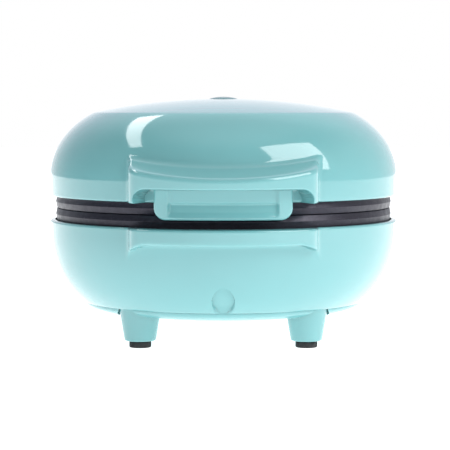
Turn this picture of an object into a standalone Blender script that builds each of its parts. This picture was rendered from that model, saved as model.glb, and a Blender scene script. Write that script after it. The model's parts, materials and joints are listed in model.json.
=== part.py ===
"""Mini donut maker: two round shells hinged at the back, each holding a plate with three ring cavities.

Frame: metres, +Z up, the front with the handle faces -Y, and the origin is on the surface that the
rubber feet stand on, midway between the handle's front and the hinge's back. The lid is shut.
"""
import math

import bmesh
import bpy
from mathutils import Matrix, Vector

# ---- overall sizes -------------------------------------------------------------------------------
BODY_RADIUS = 0.0651            # outside of both shells at their rims
BASE_RIM_Z = 0.0448             # top of the lower shell's rim
RIM_GAP = 0.0089                # open band between the two rims, where the plates' edges show
LID_HEIGHT = 0.0362             # lid's rim to the top of its crown
REACH = 0.0775                  # handle's front and hinge's back, from the middle
WALL = 0.0018                   # moulded shells
GAP = 0.0003                    # between pieces that rest on each other
RIM_BEVEL = 0.0009

# ---- shell outlines ------------------------------------------------------------------------------
SHOULDER_DEPTH = 0.0351         # horizontal semi-axis of the shells' elliptical sides
LID_SHOULDER_Z = 0.0069         # where the lid's side starts to curve, above its rim
CREASE_INSET = 0.0162           # crown's crease, in from the body's radius
CREASE_DROP = 0.0052            # crease below the crown's top
BASE_SHOULDER_Z = 0.0042        # where the base's side starts to curve, below its rim
PARTING_INSET = 0.0122          # lower shell's bottom edge, in from the body's radius
PARTING_Z = 0.0142
COVER_FLOOR_Z = 0.0104
COVER_CORNER = 0.0118           # width of the cover's rounded edge
COVER_WALL = 0.0018
COVER_EDGE_STEP = 0.0005        # cover's edge stands in from the shell above it
LIP_WIDTH = 0.0018
LIP_HEIGHT = 0.0020

# ---- handle --------------------------------------------------------------------------------------
HANDLE_HALF_WIDTH = 0.0330
HANDLE_BOW = 0.0112             # how far the handle's front bows out over its width
HANDLE_CORNER = 0.0040
SHELF_UNDERSIDE = 0.0050        # upper shelf's underside, above the lid's rim
SHELF_FRONT_HEIGHT = 0.0036
SHELF_SLOPE_RISE = 0.0036       # its top rises this much from the front to the lid's side
SHELF_LEG = 0.0020
ARCH_CORNER = 0.0042
LOWER_SHELF_SETBACK = 0.0043    # behind the upper shelf's front
LOWER_SHELF_HEIGHT = 0.0056
LOWER_SHELF_SKIRT = 0.0036      # its ends reach this much lower
LOWER_ARCH_HALF_WIDTH = 0.0285

GUARD_HALF_WIDTH = 0.0239
GUARD_THICKNESS = 0.0046
GUARD_DROP = 0.0057             # its lower edge, below the lid's rim
GUARD_CORNER = 0.0041
GUARD_PANEL_HALF_WIDTH = 0.0187
GUARD_PANEL_DEPTH = 0.0009
GUARD_SCOOP_DEPTH = 0.0022
GUARD_SCOOP_HEIGHT = 0.0046
GUARD_LIP = 0.0013
TONGUE_HALF_WIDTH = 0.0190
TONGUE_THICKNESS = 0.0035
TONGUE_HEIGHT = 0.0040
GUARD_SCREW_X = 0.0140

# ---- plates --------------------------------------------------------------------------------------
PLATE_WEB = 0.0025
PLATE_DEPTH = 0.0062
PLATE_SKIRT = 0.0025
PLATE_TAPER = 0.0004            # its edge leans in this much on both sides of a ridge
PLATE_RIDGE_DEPTH = 0.00215     # ridge's depth behind the plate's face
CAVITY_COUNT = 3
CAVITY_SPACING = 0.0047         # flat land between two cavities
CAVITY_TUBE_RADIUS = 0.0090     # half the width of its groove, and its depth
CAVITY_WALL = 0.0022
CAVITY_EDGE_LAND = 0.0075       # flat land between a cavity and the plate's edge

# ---- heating -------------------------------------------------------------------------------------
HEATER_INSET = 0.0120           # its ring's middle, in from the reflector's screws
HEATER_TUBE_RADIUS = 0.0032
HEATER_GAP_DEGREES = 40.0       # opening of the ring, at the back
HEATER_BEND_RADIUS = 0.0060
HEATER_END_LENGTH = 0.0030
HEATER_CLEARANCE = 0.0012       # to the reflector
REFLECTOR_CLEARANCE = 0.0004    # to the columns round the case screws
REFLECTOR_SLOPE = 0.0015        # its floor's edge, in from its rim
REFLECTOR_THICKNESS = 0.0006
REFLECTOR_RIM = 0.0064
REFLECTOR_HOLE_RADIUS = 0.0042  # where the heater's ends pass

# ---- fasteners -----------------------------------------------------------------------------------
SCREW_SHANK_RADIUS = 0.0015
SCREW_HOLE_RADIUS = SCREW_SHANK_RADIUS + GAP
SCREW_HEAD_RADIUS = 0.0028
SCREW_HEAD_HEIGHT = 0.0017
SCREW_BITE = 0.0080             # length of thread in a boss
CASE_POCKET_RADIUS = 0.0040
CASE_POCKET_INSET = 0.0086      # pocket's middle, in from the body's radius
CASE_POCKET_ROOF_Z = 0.0316
CASE_POCKET_ROOF = 0.0025
CASE_POCKET_WALL = 0.0016
CASE_SCREW_HEAD_RADIUS = 0.0033
BOSS_RADIUS = 0.0030
REFLECTOR_BOSS_INSET = 0.0180   # in from the plate's edge
COVER_BOSS_RADIUS = 0.0034
COVER_BOSS_INSET = 0.0089       # in from the shell's bottom edge
COVER_BOSS_HEIGHT = 0.0080
COVER_RIB_WIDTH = 0.0030
GUARD_SHANK_RADIUS = 0.0012
GUARD_HEAD_RADIUS = 0.0022
GUARD_HEAD_HEIGHT = 0.0014

# ---- feet ----------------------------------------------------------------------------------------
FOOT_TOP_RADIUS = 0.0077
FOOT_END_RADIUS = 0.0058
FOOT_POST_HEIGHT = 0.0075       # above the parting line
FOOT_INSET = 0.0080             # foot's middle, in from the shell's bottom edge
FRONT_FEET_TURN = 48.0          # degrees towards the front, from the X axis
REAR_FEET_TURN = 42.6
PAD_RADIUS = 0.0040
PAD_HEIGHT = 0.0022
PAD_STUD_RADIUS = 0.0020
PAD_STUD_HEIGHT = 0.0040

# ---- hinge ---------------------------------------------------------------------------------------
BARREL_RADIUS = 0.0045
LID_BARREL_HALF_WIDTH = 0.0195
EAR_WIDTH = 0.0060
PIN_RADIUS = 0.0015
PIN_HEAD_RADIUS = 0.0026
PIN_HEAD_LENGTH = 0.0012

# ---- cord inlet, lamp and electrics --------------------------------------------------------------
INLET_Z = 0.0306
INLET_BOSS_RADIUS = 0.0092
INLET_BOSS_LENGTH = 0.0040
INLET_SPOTFACE_INSET = 0.0057   # seat of the gland's flange, in from the body's radius
GLAND_FLANGE_RADIUS = 0.0070
GLAND_FLANGE_LENGTH = 0.0020
GLAND_BARREL_RADIUS = 0.0048
GLAND_BORE_RADIUS = 0.0032
GLAND_NUT_RADIUS = 0.0078
GLAND_NUT_LENGTH = 0.0024
LENS_RADIUS = 0.0060
LENS_RISE = 0.0006
LENS_SEAT_DEPTH = 0.0012
LENS_STEM_RADIUS = 0.0040
LENS_STEM_LENGTH = 0.0034
LAMP_RADIUS = 0.0026
LAMP_LENGTH = 0.0080
HOLDER_LENGTH = 0.0090
HOLDER_WALL = 0.0014
COLLAR_WALL = 0.0015
COLLAR_LENGTH = 0.0060
THERMOSTAT_RADIUS = 0.0080
THERMOSTAT_HEIGHT = 0.0050
THERMOSTAT_FLANGE = 0.0020
THERMOSTAT_CAP_RADIUS = 0.0065
THERMOSTAT_PLACE = (0.0200, 0.0060)
TERMINAL_SIZE = (0.0240, 0.0120, 0.0080)
TERMINAL_Y = 0.0040
TERMINAL_SLOT_DEPTH = 0.0024
FUSE_RADIUS = 0.0018
FUSE_LENGTH = 0.0110
LEAD_RADIUS = 0.0009
LEAD_PULL = 0.0030              # how far a lead runs straight on at its ends
LEAD_LONG_PULL = 0.0070         # and where it leaves the lid's heater or the lamp
LEAD_JOIN_PLACE = (-0.0150, 0.0060)
TAB_OFFSET = 0.0030             # the thermostat's tabs, out from its middle
LAMP_LEAD_RADIUS = 0.0006
LAMP_LEAD_SPREAD = 0.0012       # each of the lamp's leads, out from its middle
VENT_SIZE = (0.0240, 0.0020)
VENT_COUNT = 5
VENT_PITCH = 0.0050

# ---- facets --------------------------------------------------------------------------------------
BODY_SEGMENTS = 40
SMALL_SEGMENTS = 10
CAVITY_SEGMENTS = 20
CAVITY_TUBE_SEGMENTS = 10
FACET_TURN = math.radians(5)    # turns a rod's facets off the axes, clear of its neighbours' corners
PAST = 0.004                    # how far a cutter runs past what it cuts
MERGE = 2e-6
FLAT = math.radians(0.05)

# ---- worked out from the sizes above -------------------------------------------------------------
LID_RIM_Z = BASE_RIM_Z + RIM_GAP
SPLIT_Z = BASE_RIM_Z + RIM_GAP / 2
CROWN_Z = LID_RIM_Z + LID_HEIGHT
PLATE_RADIUS = BODY_RADIUS - WALL - GAP
SHOULDER_CENTRE = BODY_RADIUS - SHOULDER_DEPTH
CREASE_RADIUS = BODY_RADIUS - CREASE_INSET
CREASE_Z = CROWN_Z - CREASE_DROP
PARTING_RADIUS = BODY_RADIUS - PARTING_INSET
CAVITY_SPREAD = 2 * math.sin(math.pi / CAVITY_COUNT)
CAVITY_RADIUS = (((PLATE_RADIUS - CAVITY_EDGE_LAND) * CAVITY_SPREAD - CAVITY_SPACING)
                 / (CAVITY_SPREAD + 2))
CAVITY_RING_RADIUS = CAVITY_RADIUS - CAVITY_TUBE_RADIUS
CAVITY_PITCH_RADIUS = PLATE_RADIUS - CAVITY_EDGE_LAND - CAVITY_RADIUS
CAVITY_ANGLES = [90 + 360 * i / CAVITY_COUNT for i in range(CAVITY_COUNT)]
BETWEEN_ANGLES = [-90 + 360 * i / CAVITY_COUNT for i in range(CAVITY_COUNT)]
HEATER_DEPTH = CAVITY_TUBE_RADIUS + CAVITY_WALL + GAP + HEATER_TUBE_RADIUS
REFLECTOR_DEPTH = HEATER_DEPTH + HEATER_TUBE_RADIUS + HEATER_CLEARANCE
CASE_SCREW_PITCH_RADIUS = BODY_RADIUS - CASE_POCKET_INSET
REFLECTOR_SCREW_PITCH_RADIUS = PLATE_RADIUS - REFLECTOR_BOSS_INSET
REFLECTOR_RADIUS = (CASE_SCREW_PITCH_RADIUS - CASE_POCKET_RADIUS - CASE_POCKET_WALL
                    - REFLECTOR_CLEARANCE)
REFLECTOR_FLOOR_RADIUS = REFLECTOR_RADIUS - REFLECTOR_SLOPE
HEATER_RING_RADIUS = REFLECTOR_SCREW_PITCH_RADIUS - HEATER_INSET
COVER_SCREW_PITCH_RADIUS = PARTING_RADIUS - COVER_BOSS_INSET
FOOT_PITCH_RADIUS = PARTING_RADIUS - FOOT_INSET
HINGE_Y = REACH - BARREL_RADIUS
HINGE_Z = SPLIT_Z
FOOT_BOTTOM_Z = PAD_HEIGHT + GAP
SHELF_UNDERSIDE_Z = LID_RIM_Z + SHELF_UNDERSIDE
SHELF_FRONT_Z = SHELF_UNDERSIDE_Z + SHELF_FRONT_HEIGHT
GUARD_INNER_RADIUS = BODY_RADIUS + GAP
GUARD_OUTER_RADIUS = GUARD_INNER_RADIUS + GUARD_THICKNESS
GUARD_LOW_Z = LID_RIM_Z - GUARD_DROP
GUARD_SCREW_Z = SHELF_UNDERSIDE_Z + TONGUE_HEIGHT / 2 - GAP
INLET_SPOTFACE_Y = BODY_RADIUS - INLET_SPOTFACE_INSET
INLET_INNER_Y = INLET_SPOTFACE_Y - INLET_BOSS_LENGTH


# ---- outlines ------------------------------------------------------------------------------------
def polar(radius, degrees):
    angle = math.radians(degrees)
    return radius * math.cos(angle), radius * math.sin(angle)


def arc(centre, semi_axes, start, end, steps):
    """Points along an ellipse from start to end, in degrees, both ends included."""
    points = []
    for i in range(steps + 1):
        angle = math.radians(start + (end - start) * i / steps)
        across = centre[0] + semi_axes[0] * math.cos(angle)
        points.append((across, centre[1] + semi_axes[1] * math.sin(angle)))
    return points


def rectangle(x_low, x_high, y_low, y_high):
    return [(x_low, y_low), (x_high, y_low), (x_high, y_high), (x_low, y_high)]


def circle(centre, radius, count=SMALL_SEGMENTS):
    return arc(centre, (radius, radius), 0, 360, count)[:-1]


def crown_points(inset, steps=4):
    """The lid's crown from its middle to the crease, pushed inwards by inset."""
    sphere = (CREASE_RADIUS ** 2 + CREASE_DROP ** 2) / (2 * CREASE_DROP)
    points = []
    for i in range(steps + 1):
        radius = CREASE_RADIUS * i / steps
        height = CROWN_Z - sphere + math.sqrt(sphere ** 2 - radius ** 2)
        points.append((max(0.0, radius - inset * i / steps), height - inset))
    return points


def shoulder_points(through, centre_z, inset, steps=6):
    """An elliptical side from the point it passes through to the rim's full radius, without the first."""
    centre = (SHOULDER_CENTRE, centre_z)
    across = math.acos((through[0] - SHOULDER_CENTRE) / SHOULDER_DEPTH)
    tall = (through[1] - centre_z) / math.sin(across)
    semi_axes = (SHOULDER_DEPTH - inset, tall - math.copysign(inset, tall))
    return arc(centre, semi_axes, math.degrees(across), 0, steps)


# ---- bmesh shapes --------------------------------------------------------------------------------
def turned(outline, segments=BODY_SEGMENTS):
    """The closed outline of (radius, height) points, spun round Z. A point of radius 0 is on the axis."""
    shape = bmesh.new()
    rings = []
    for radius, height in outline:
        if radius < MERGE:
            rings.append([shape.verts.new((0, 0, height))])
            continue
        turns = [2 * math.pi * i / segments for i in range(segments)]
        rings.append([shape.verts.new((radius * math.cos(t), radius * math.sin(t), height)) for t in turns])
    for near, far in zip(rings, rings[1:] + rings[:1]):
        if len(near) == 1 and len(far) == 1:
            continue
        for i in range(segments):
            j = (i + 1) % segments
            corners = (near[i % len(near)], near[j % len(near)], far[j % len(far)], far[i % len(far)])
            shape.faces.new(list(dict.fromkeys(corners)))
    bmesh.ops.recalc_face_normals(shape, faces=shape.faces)
    return shape


def prism(outline, low, high, along="Z"):
    """The outline pushed from low to high along an axis. Its points are the other two, in order."""
    def placed(a, b, c):
        return {"Z": (a, b, c), "Y": (a, c, b), "X": (c, a, b)}[along]

    shape = bmesh.new()
    near = [shape.verts.new(placed(a, b, low)) for a, b in outline]
    far = [shape.verts.new(placed(a, b, high)) for a, b in outline]
    shape.faces.new(near)
    shape.faces.new(far)
    for i in range(len(outline)):
        j = (i + 1) % len(outline)
        shape.faces.new((near[i], near[j], far[j], far[i]))
    bmesh.ops.recalc_face_normals(shape, faces=shape.faces)
    return shape


def rod(centre, radius, low, high, along="Z", count=SMALL_SEGMENTS, end_radius=None):
    """A round rod along an axis, which may taper to end_radius at its high end."""
    end_radius = radius if end_radius is None else end_radius
    shape = turned([(0, low), (radius, low), (end_radius, high), (0, high)], count)
    off_axis = Matrix.Rotation(FACET_TURN, 4, "Z")
    first, second = centre
    if along == "X":
        shift, turn = (0, first, second), Matrix.Rotation(math.pi / 2, 4, "Y")
    elif along == "Y":
        shift, turn = (first, 0, second), Matrix.Rotation(-math.pi / 2, 4, "X")
    else:
        shift, turn = (first, second, 0), Matrix()
    shape.transform(Matrix.Translation(shift) @ turn @ off_axis)
    return shape


def ring_torus(centre, tube_radius):
    """The ring of a cavity, as a whole torus about the plate's face."""
    tube = circle((CAVITY_RING_RADIUS, centre[2]), tube_radius, CAVITY_TUBE_SEGMENTS)
    shape = turned(tube, CAVITY_SEGMENTS)
    shape.transform(Matrix.Translation((centre[0], centre[1], 0)))
    return shape


# ---- objects -------------------------------------------------------------------------------------
def material(name, colour, roughness, metallic=0.0):
    made = bpy.data.materials.new(name)
    made.use_nodes = True
    shader = made.node_tree.nodes["Principled BSDF"]
    shader.inputs["Base Color"].default_value = (*colour, 1.0)
    shader.inputs["Roughness"].default_value = roughness
    shader.inputs["Metallic"].default_value = metallic
    made.diffuse_color = (*colour, 1.0)
    return made


def tidy(shape):
    """Merge corners that coincide and join faces that lie in one plane."""
    bmesh.ops.remove_doubles(shape, verts=shape.verts, dist=MERGE)
    bmesh.ops.dissolve_degenerate(shape, edges=shape.edges, dist=MERGE)
    bmesh.ops.dissolve_limit(shape, angle_limit=FLAT, verts=shape.verts, edges=shape.edges)


def solid(name, shape, finish=None):
    """An object from a bmesh, which is used up."""
    tidy(shape)
    mesh = bpy.data.meshes.new(name)
    shape.to_mesh(mesh)
    shape.free()
    if finish:
        mesh.materials.append(finish)
    made = bpy.data.objects.new(name, mesh)
    bpy.context.scene.collection.objects.link(made)
    return made


def combine(target, operation, shapes):
    """Cut the shapes from the target, join them to it or keep what lies within them."""
    for shape in shapes:
        tool = solid("tool", shape)
        boolean = target.modifiers.new("shape", "BOOLEAN")
        boolean.operation = operation
        boolean.solver = "EXACT"
        boolean.object = tool
        bpy.context.view_layer.update()
        evaluated = target.evaluated_get(bpy.context.evaluated_depsgraph_get())
        mesh = bpy.data.meshes.new_from_object(evaluated)
        target.modifiers.remove(boolean)
        bpy.data.objects.remove(tool)
        result = bmesh.new()
        result.from_mesh(mesh)
        tidy(result)
        result.to_mesh(mesh)
        result.free()
        target.data = mesh
    return target


def cut(target, shapes):
    return combine(target, "DIFFERENCE", shapes)


def join(target, shapes):
    return combine(target, "UNION", shapes)


def wire(name, points, radius, finish, sides=1):
    """A closed round tube along the points."""
    curve = bpy.data.curves.new(name, "CURVE")
    curve.dimensions = "3D"
    curve.bevel_depth = radius
    curve.bevel_resolution = sides
    curve.use_fill_caps = True
    spline = curve.splines.new("POLY")
    spline.points.add(len(points) - 1)
    for slot, point in zip(spline.points, points):
        slot.co = (*point, 1.0)
    curve.materials.append(finish)
    made = bpy.data.objects.new(name, curve)
    bpy.context.scene.collection.objects.link(made)
    return made


def bezier(start, start_pull, end_pull, end, steps=9):
    """Points on one smooth curve from start to end, which leaves and arrives along the two pulls."""
    a, d = Vector(start), Vector(end)
    b, c = a + Vector(start_pull), d + Vector(end_pull)
    points = []
    for i in range(steps + 1):
        t = i / steps
        s = 1 - t
        points.append(a * s ** 3 + b * 3 * s * s * t + c * 3 * s * t * t + d * t ** 3)
    return points


# ---- shells --------------------------------------------------------------------------------------
def handle_plan(reach, half_width):
    """A handle shelf seen from above: from inside the shell out to its bowed front."""
    side = reach - HANDLE_BOW
    bow_radius = (half_width ** 2 + HANDLE_BOW ** 2) / (2 * HANDLE_BOW)
    spread = math.degrees(math.asin((half_width - HANDLE_CORNER) / bow_radius))
    centre = (0.0, -reach + bow_radius)
    front = arc(centre, (bow_radius, bow_radius), -90 + spread, -90 - spread, 8)
    inner = -BODY_RADIUS / 2
    return [(half_width, inner), (half_width, -side + HANDLE_CORNER / 2), *front,
            (-half_width, -side + HANDLE_CORNER / 2), (-half_width, inner)]


def arch_outline(half_width, top, corner, low):
    """An arch seen from the front: straight sides, round upper corners and a flat top."""
    right = arc((half_width - corner, top - corner), (corner, corner), 0, 90, 4)
    left = [(-x, z) for x, z in reversed(right)]
    return [(half_width, low), *right, *left, (-half_width, low)]


def upper_shelf():
    """The lid's handle: a bowed hood on two legs, its top falling towards the front."""
    plan = handle_plan(REACH, HANDLE_HALF_WIDTH)
    shelf = solid("shelf", prism(plan, LID_RIM_Z + RIM_BEVEL, CROWN_Z))
    far = 2 * REACH
    rise = SHELF_SLOPE_RISE / (REACH - BODY_RADIUS)
    front_z = SHELF_FRONT_Z - rise * (far - REACH)
    back_z = SHELF_FRONT_Z + rise * REACH
    above = [(-far, front_z), (0, back_z), (0, 2 * CROWN_Z), (-far, 2 * CROWN_Z)]
    arch = arch_outline(HANDLE_HALF_WIDTH - SHELF_LEG, SHELF_UNDERSIDE_Z, ARCH_CORNER, 0)
    cut(shelf, [prism(above, -far, far, "X"), prism(arch, -far, 0, "Y")])
    return shelf


def lower_shelf():
    """The base's handle: a bowed ledge level with the rim, deeper at its two ends."""
    low = BASE_RIM_Z - LOWER_SHELF_HEIGHT
    plan = handle_plan(REACH - LOWER_SHELF_SETBACK, HANDLE_HALF_WIDTH)
    shelf = solid("shelf", prism(plan, low - LOWER_SHELF_SKIRT, BASE_RIM_Z))
    arch = arch_outline(LOWER_ARCH_HALF_WIDTH, low, LOWER_SHELF_SKIRT, 0)
    cut(shelf, [prism(arch, -2 * REACH, 0, "Y")])
    return shelf


def hinge_lug(x_low, x_high, anchor):
    """A hinge ear: one convex outline along X round the barrel and a rectangle inside a shell."""
    shape = bmesh.new()
    for x in (x_low, x_high):
        for y, z in circle((HINGE_Y, HINGE_Z), BARREL_RADIUS, 16) + anchor:
            shape.verts.new((x, y, z))
    hull = bmesh.ops.convex_hull(shape, input=shape.verts)
    spare = {item for item in hull["geom_interior"] if isinstance(item, bmesh.types.BMVert)}
    bmesh.ops.delete(shape, geom=list(spare), context="VERTS")
    bmesh.ops.recalc_face_normals(shape, faces=shape.faces)
    return shape


def pin_hole():
    far = 2 * REACH
    return rod((HINGE_Y, HINGE_Z), PIN_RADIUS + GAP, -far, far, "X")


def make_upper_shell(finish):
    """The lid: crown, curved side and rim, with the handle's hood, the hinge barrel and bosses."""
    shoulder_z = LID_RIM_Z + LID_SHOULDER_Z
    crease = (CREASE_RADIUS, CREASE_Z)
    outside = [*crown_points(0), *shoulder_points(crease, shoulder_z, 0)[1:],
               (BODY_RADIUS, LID_RIM_Z + RIM_BEVEL), (BODY_RADIUS - RIM_BEVEL, LID_RIM_Z),
               (0, LID_RIM_Z)]
    inside = [*crown_points(WALL, 3), *shoulder_points(crease, shoulder_z, WALL, 4)[1:],
              (BODY_RADIUS - WALL, LID_RIM_Z - PAST), (0, LID_RIM_Z - PAST)]
    shell = solid("upper_shell", turned(outside), finish)
    anchor = rectangle(PLATE_RADIUS - WALL, BODY_RADIUS,
                       LID_RIM_Z + RIM_BEVEL, LID_RIM_Z + 2 * BARREL_RADIUS)
    barrel = hinge_lug(-LID_BARREL_HALF_WIDTH, LID_BARREL_HALF_WIDTH, anchor)
    join(shell, [bmesh_of(upper_shelf()), barrel])

    hollow = solid("hollow", turned(inside))
    post_low = SPLIT_Z + GAP / 2 + PLATE_WEB + GAP
    post_places = [polar(CASE_SCREW_PITCH_RADIUS, angle) for angle in BETWEEN_ANGLES]
    posts = [rod(place, BOSS_RADIUS, post_low, CROWN_Z) for place in post_places]
    holder_radius = LAMP_RADIUS + GAP + HOLDER_WALL
    collar_low = CROWN_Z - WALL - COLLAR_LENGTH
    collar_radius = holder_radius + GAP + COLLAR_WALL
    collar = solid("collar", rod((0, 0), collar_radius, collar_low, CROWN_Z, count=20))
    cut(collar, [rod((0, 0), holder_radius + GAP, collar_low - PAST, CROWN_Z + PAST, count=20)])
    seat = CROWN_Z - LENS_SEAT_DEPTH
    lens_floor = rod((0, 0), LENS_RADIUS + WALL, seat - WALL, CROWN_Z, count=20)
    cut(hollow, [*posts, bmesh_of(collar), lens_floor])
    cut(shell, [bmesh_of(hollow)])

    screws = [rod(place, SCREW_HOLE_RADIUS, post_low - PAST, post_low + SCREW_BITE)
              for place in post_places]
    guard_screws = [rod((side * GUARD_SCREW_X, GUARD_SCREW_Z), GUARD_SHANK_RADIUS + GAP,
                        -BODY_RADIUS - PAST, -PLATE_RADIUS / 2, "Y") for side in (-1, 1)]
    lens = [rod((0, 0), LENS_RADIUS + GAP, seat, CROWN_Z + PAST, count=20),
            rod((0, 0), LENS_STEM_RADIUS + GAP, seat - PAST, CROWN_Z + PAST, count=20)]
    cut(shell, [*screws, *guard_screws, *lens, tongue(GAP), pin_hole()])
    return shell


def make_lower_shell(finish):
    """The base: curved side, handle ledge, hinge ears, feet, screw pockets and the cord's inlet."""
    shoulder_z = BASE_RIM_Z - BASE_SHOULDER_Z
    parting = (PARTING_RADIUS, PARTING_Z)
    outside = [(0, PARTING_Z), *shoulder_points(parting, shoulder_z, 0),
               (BODY_RADIUS, BASE_RIM_Z - RIM_BEVEL), (BODY_RADIUS - RIM_BEVEL, BASE_RIM_Z),
               (0, BASE_RIM_Z)]
    inner_side = shoulder_points(parting, shoulder_z, WALL, 4)
    inside = [(0, PARTING_Z - PAST), (inner_side[0][0], PARTING_Z - PAST), *inner_side,
              (BODY_RADIUS - WALL, BASE_RIM_Z + PAST), (0, BASE_RIM_Z + PAST)]
    shell = solid("lower_shell", turned(outside), finish)
    ear = LID_BARREL_HALF_WIDTH + GAP
    anchor_y = math.sqrt(BODY_RADIUS ** 2 - (ear + EAR_WIDTH) ** 2) - WALL / 2
    anchor = rectangle(anchor_y, BODY_RADIUS - WALL,
                       BASE_RIM_Z - 2 * BARREL_RADIUS, BASE_RIM_Z - GAP)
    ears = [hinge_lug(ear, ear + EAR_WIDTH, anchor), hinge_lug(-ear - EAR_WIDTH, -ear, anchor)]
    feet = [rod(place, FOOT_END_RADIUS, FOOT_BOTTOM_Z, PARTING_Z, count=16,
                end_radius=FOOT_TOP_RADIUS) for place in feet_places()]
    join(shell, [bmesh_of(lower_shelf()), *ears, *feet, *foot_posts()])

    hollow = solid("hollow", turned(inside))
    pocket_radius = CASE_POCKET_RADIUS + CASE_POCKET_WALL
    pocket_top = CASE_POCKET_ROOF_Z + CASE_POCKET_ROOF
    pockets = [rod(polar(CASE_SCREW_PITCH_RADIUS, a), pocket_radius, 0, pocket_top, count=16)
               for a in BETWEEN_ANGLES]
    bosses = []
    boss_top = PARTING_Z + COVER_BOSS_HEIGHT
    for angle in CAVITY_ANGLES:
        place = polar(COVER_SCREW_PITCH_RADIUS, angle)
        bosses.append(rod(place, COVER_BOSS_RADIUS, PARTING_Z + GAP, boss_top))
        rib_plan = rectangle(COVER_SCREW_PITCH_RADIUS, BODY_RADIUS,
                             -COVER_RIB_WIDTH / 2, COVER_RIB_WIDTH / 2)
        rib = prism(rib_plan, PARTING_Z + GAP, boss_top)
        rib.transform(Matrix.Rotation(math.radians(angle), 4, "Z"))
        bosses.append(rib)
    inlet = rod((0, INLET_Z), INLET_BOSS_RADIUS, INLET_INNER_Y, 2 * BODY_RADIUS, "Y", count=20)
    cut(hollow, [*foot_posts(), *pockets, *bosses, inlet])
    cut(shell, [bmesh_of(hollow)])

    holes = []
    for angle in BETWEEN_ANGLES:
        place = polar(CASE_SCREW_PITCH_RADIUS, angle)
        holes.append(rod(place, CASE_POCKET_RADIUS, -PAST, CASE_POCKET_ROOF_Z, count=16))
        holes.append(rod(place, SCREW_HOLE_RADIUS, CASE_POCKET_ROOF_Z - PAST, pocket_top + PAST))
    for angle in CAVITY_ANGLES:
        place = polar(COVER_SCREW_PITCH_RADIUS, angle)
        tip = COVER_FLOOR_Z + SCREW_HEAD_HEIGHT + SCREW_BITE
        holes.append(rod(place, SCREW_HOLE_RADIUS, PARTING_Z - PAST, tip + GAP))
    for place in feet_places():
        holes.append(rod(place, PAD_STUD_RADIUS + GAP, -PAST, FOOT_BOTTOM_Z + PAD_STUD_HEIGHT))
    holes.append(rod((0, INLET_Z), GLAND_FLANGE_RADIUS + GAP,
                     INLET_SPOTFACE_Y, 2 * BODY_RADIUS, "Y", count=20))
    holes.append(rod((0, INLET_Z), GLAND_BARREL_RADIUS + GAP,
                     INLET_INNER_Y - PAST, BODY_RADIUS, "Y", count=20))
    cut(shell, [*holes, pin_hole()])
    return shell


def bmesh_of(thing):
    """The object's mesh as a bmesh; the object itself is used up."""
    shape = bmesh.new()
    shape.from_mesh(thing.data)
    bpy.data.objects.remove(thing)
    return shape


def feet_places():
    places = [polar(FOOT_PITCH_RADIUS, turn) for turn in (-FRONT_FEET_TURN, REAR_FEET_TURN)]
    return [(side * x, y) for x, y in places for side in (-1, 1)]


def foot_posts():
    """The feet's upper ends inside the base."""
    top = PARTING_Z + FOOT_POST_HEIGHT
    return [rod(place, FOOT_TOP_RADIUS, PARTING_Z - GAP, top, count=16) for place in feet_places()]


def make_bottom_cover(finish):
    """The dished cover under the base, notched round the feet, with vents and recessed screw holes."""
    edge = PARTING_RADIUS - COVER_EDGE_STEP
    top = PARTING_Z - GAP
    parting = (PARTING_RADIUS, PARTING_Z)
    lip = shoulder_points(parting, BASE_RIM_Z - BASE_SHOULDER_Z, WALL)[0][0] - GAP
    centre = (edge - COVER_CORNER, top)
    corner = arc(centre, (COVER_CORNER, top - COVER_FLOOR_Z), -90, 0, 5)
    outline = [(0, COVER_FLOOR_Z), *corner, (lip, top), (lip, top + LIP_HEIGHT),
               (lip - LIP_WIDTH, top + LIP_HEIGHT),
               (lip - LIP_WIDTH, COVER_FLOOR_Z + COVER_WALL + LIP_WIDTH / 2),
               (centre[0], COVER_FLOOR_Z + COVER_WALL), (0, COVER_FLOOR_Z + COVER_WALL)]
    cover = solid("bottom_cover", turned(outline), finish)
    foot_clear = FOOT_TOP_RADIUS + 2 * GAP
    holes = [rod(place, foot_clear, 0, BASE_RIM_Z, count=16) for place in feet_places()]
    pocket_clear = CASE_POCKET_RADIUS + CASE_POCKET_WALL + GAP
    for angle in BETWEEN_ANGLES:
        place = polar(CASE_SCREW_PITCH_RADIUS, angle)
        holes.append(rod(place, pocket_clear, 0, BASE_RIM_Z, count=16))
    boss_clear = COVER_BOSS_RADIUS + 2 * LIP_WIDTH
    for angle in CAVITY_ANGLES:
        place = polar(COVER_SCREW_PITCH_RADIUS, angle)
        beyond = polar(COVER_SCREW_PITCH_RADIUS + LIP_WIDTH, angle)
        holes.append(rod(beyond, boss_clear, top - GAP, BASE_RIM_Z, count=16))
        holes.append(rod(place, SCREW_HOLE_RADIUS, 0, BASE_RIM_Z))
        holes.append(rod(place, SCREW_HEAD_RADIUS + GAP, 0, COVER_FLOOR_Z + SCREW_HEAD_HEIGHT + GAP))
    for i in range(VENT_COUNT):
        y = (i - (VENT_COUNT - 1) / 2) * VENT_PITCH - TERMINAL_SIZE[1] - TERMINAL_Y
        half_length, half_width = VENT_SIZE[0] / 2, VENT_SIZE[1] / 2
        slot = rectangle(-half_length, half_length, y - half_width, y + half_width)
        holes.append(prism(slot, 0, BASE_RIM_Z))
    bosses = [rod(polar(COVER_SCREW_PITCH_RADIUS, angle), SCREW_HEAD_RADIUS + WALL,
                  COVER_FLOOR_Z + COVER_WALL / 2, top - 2 * GAP, count=16) for angle in CAVITY_ANGLES]
    join(cover, bosses)
    cut(cover, holes)
    return cover


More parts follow.
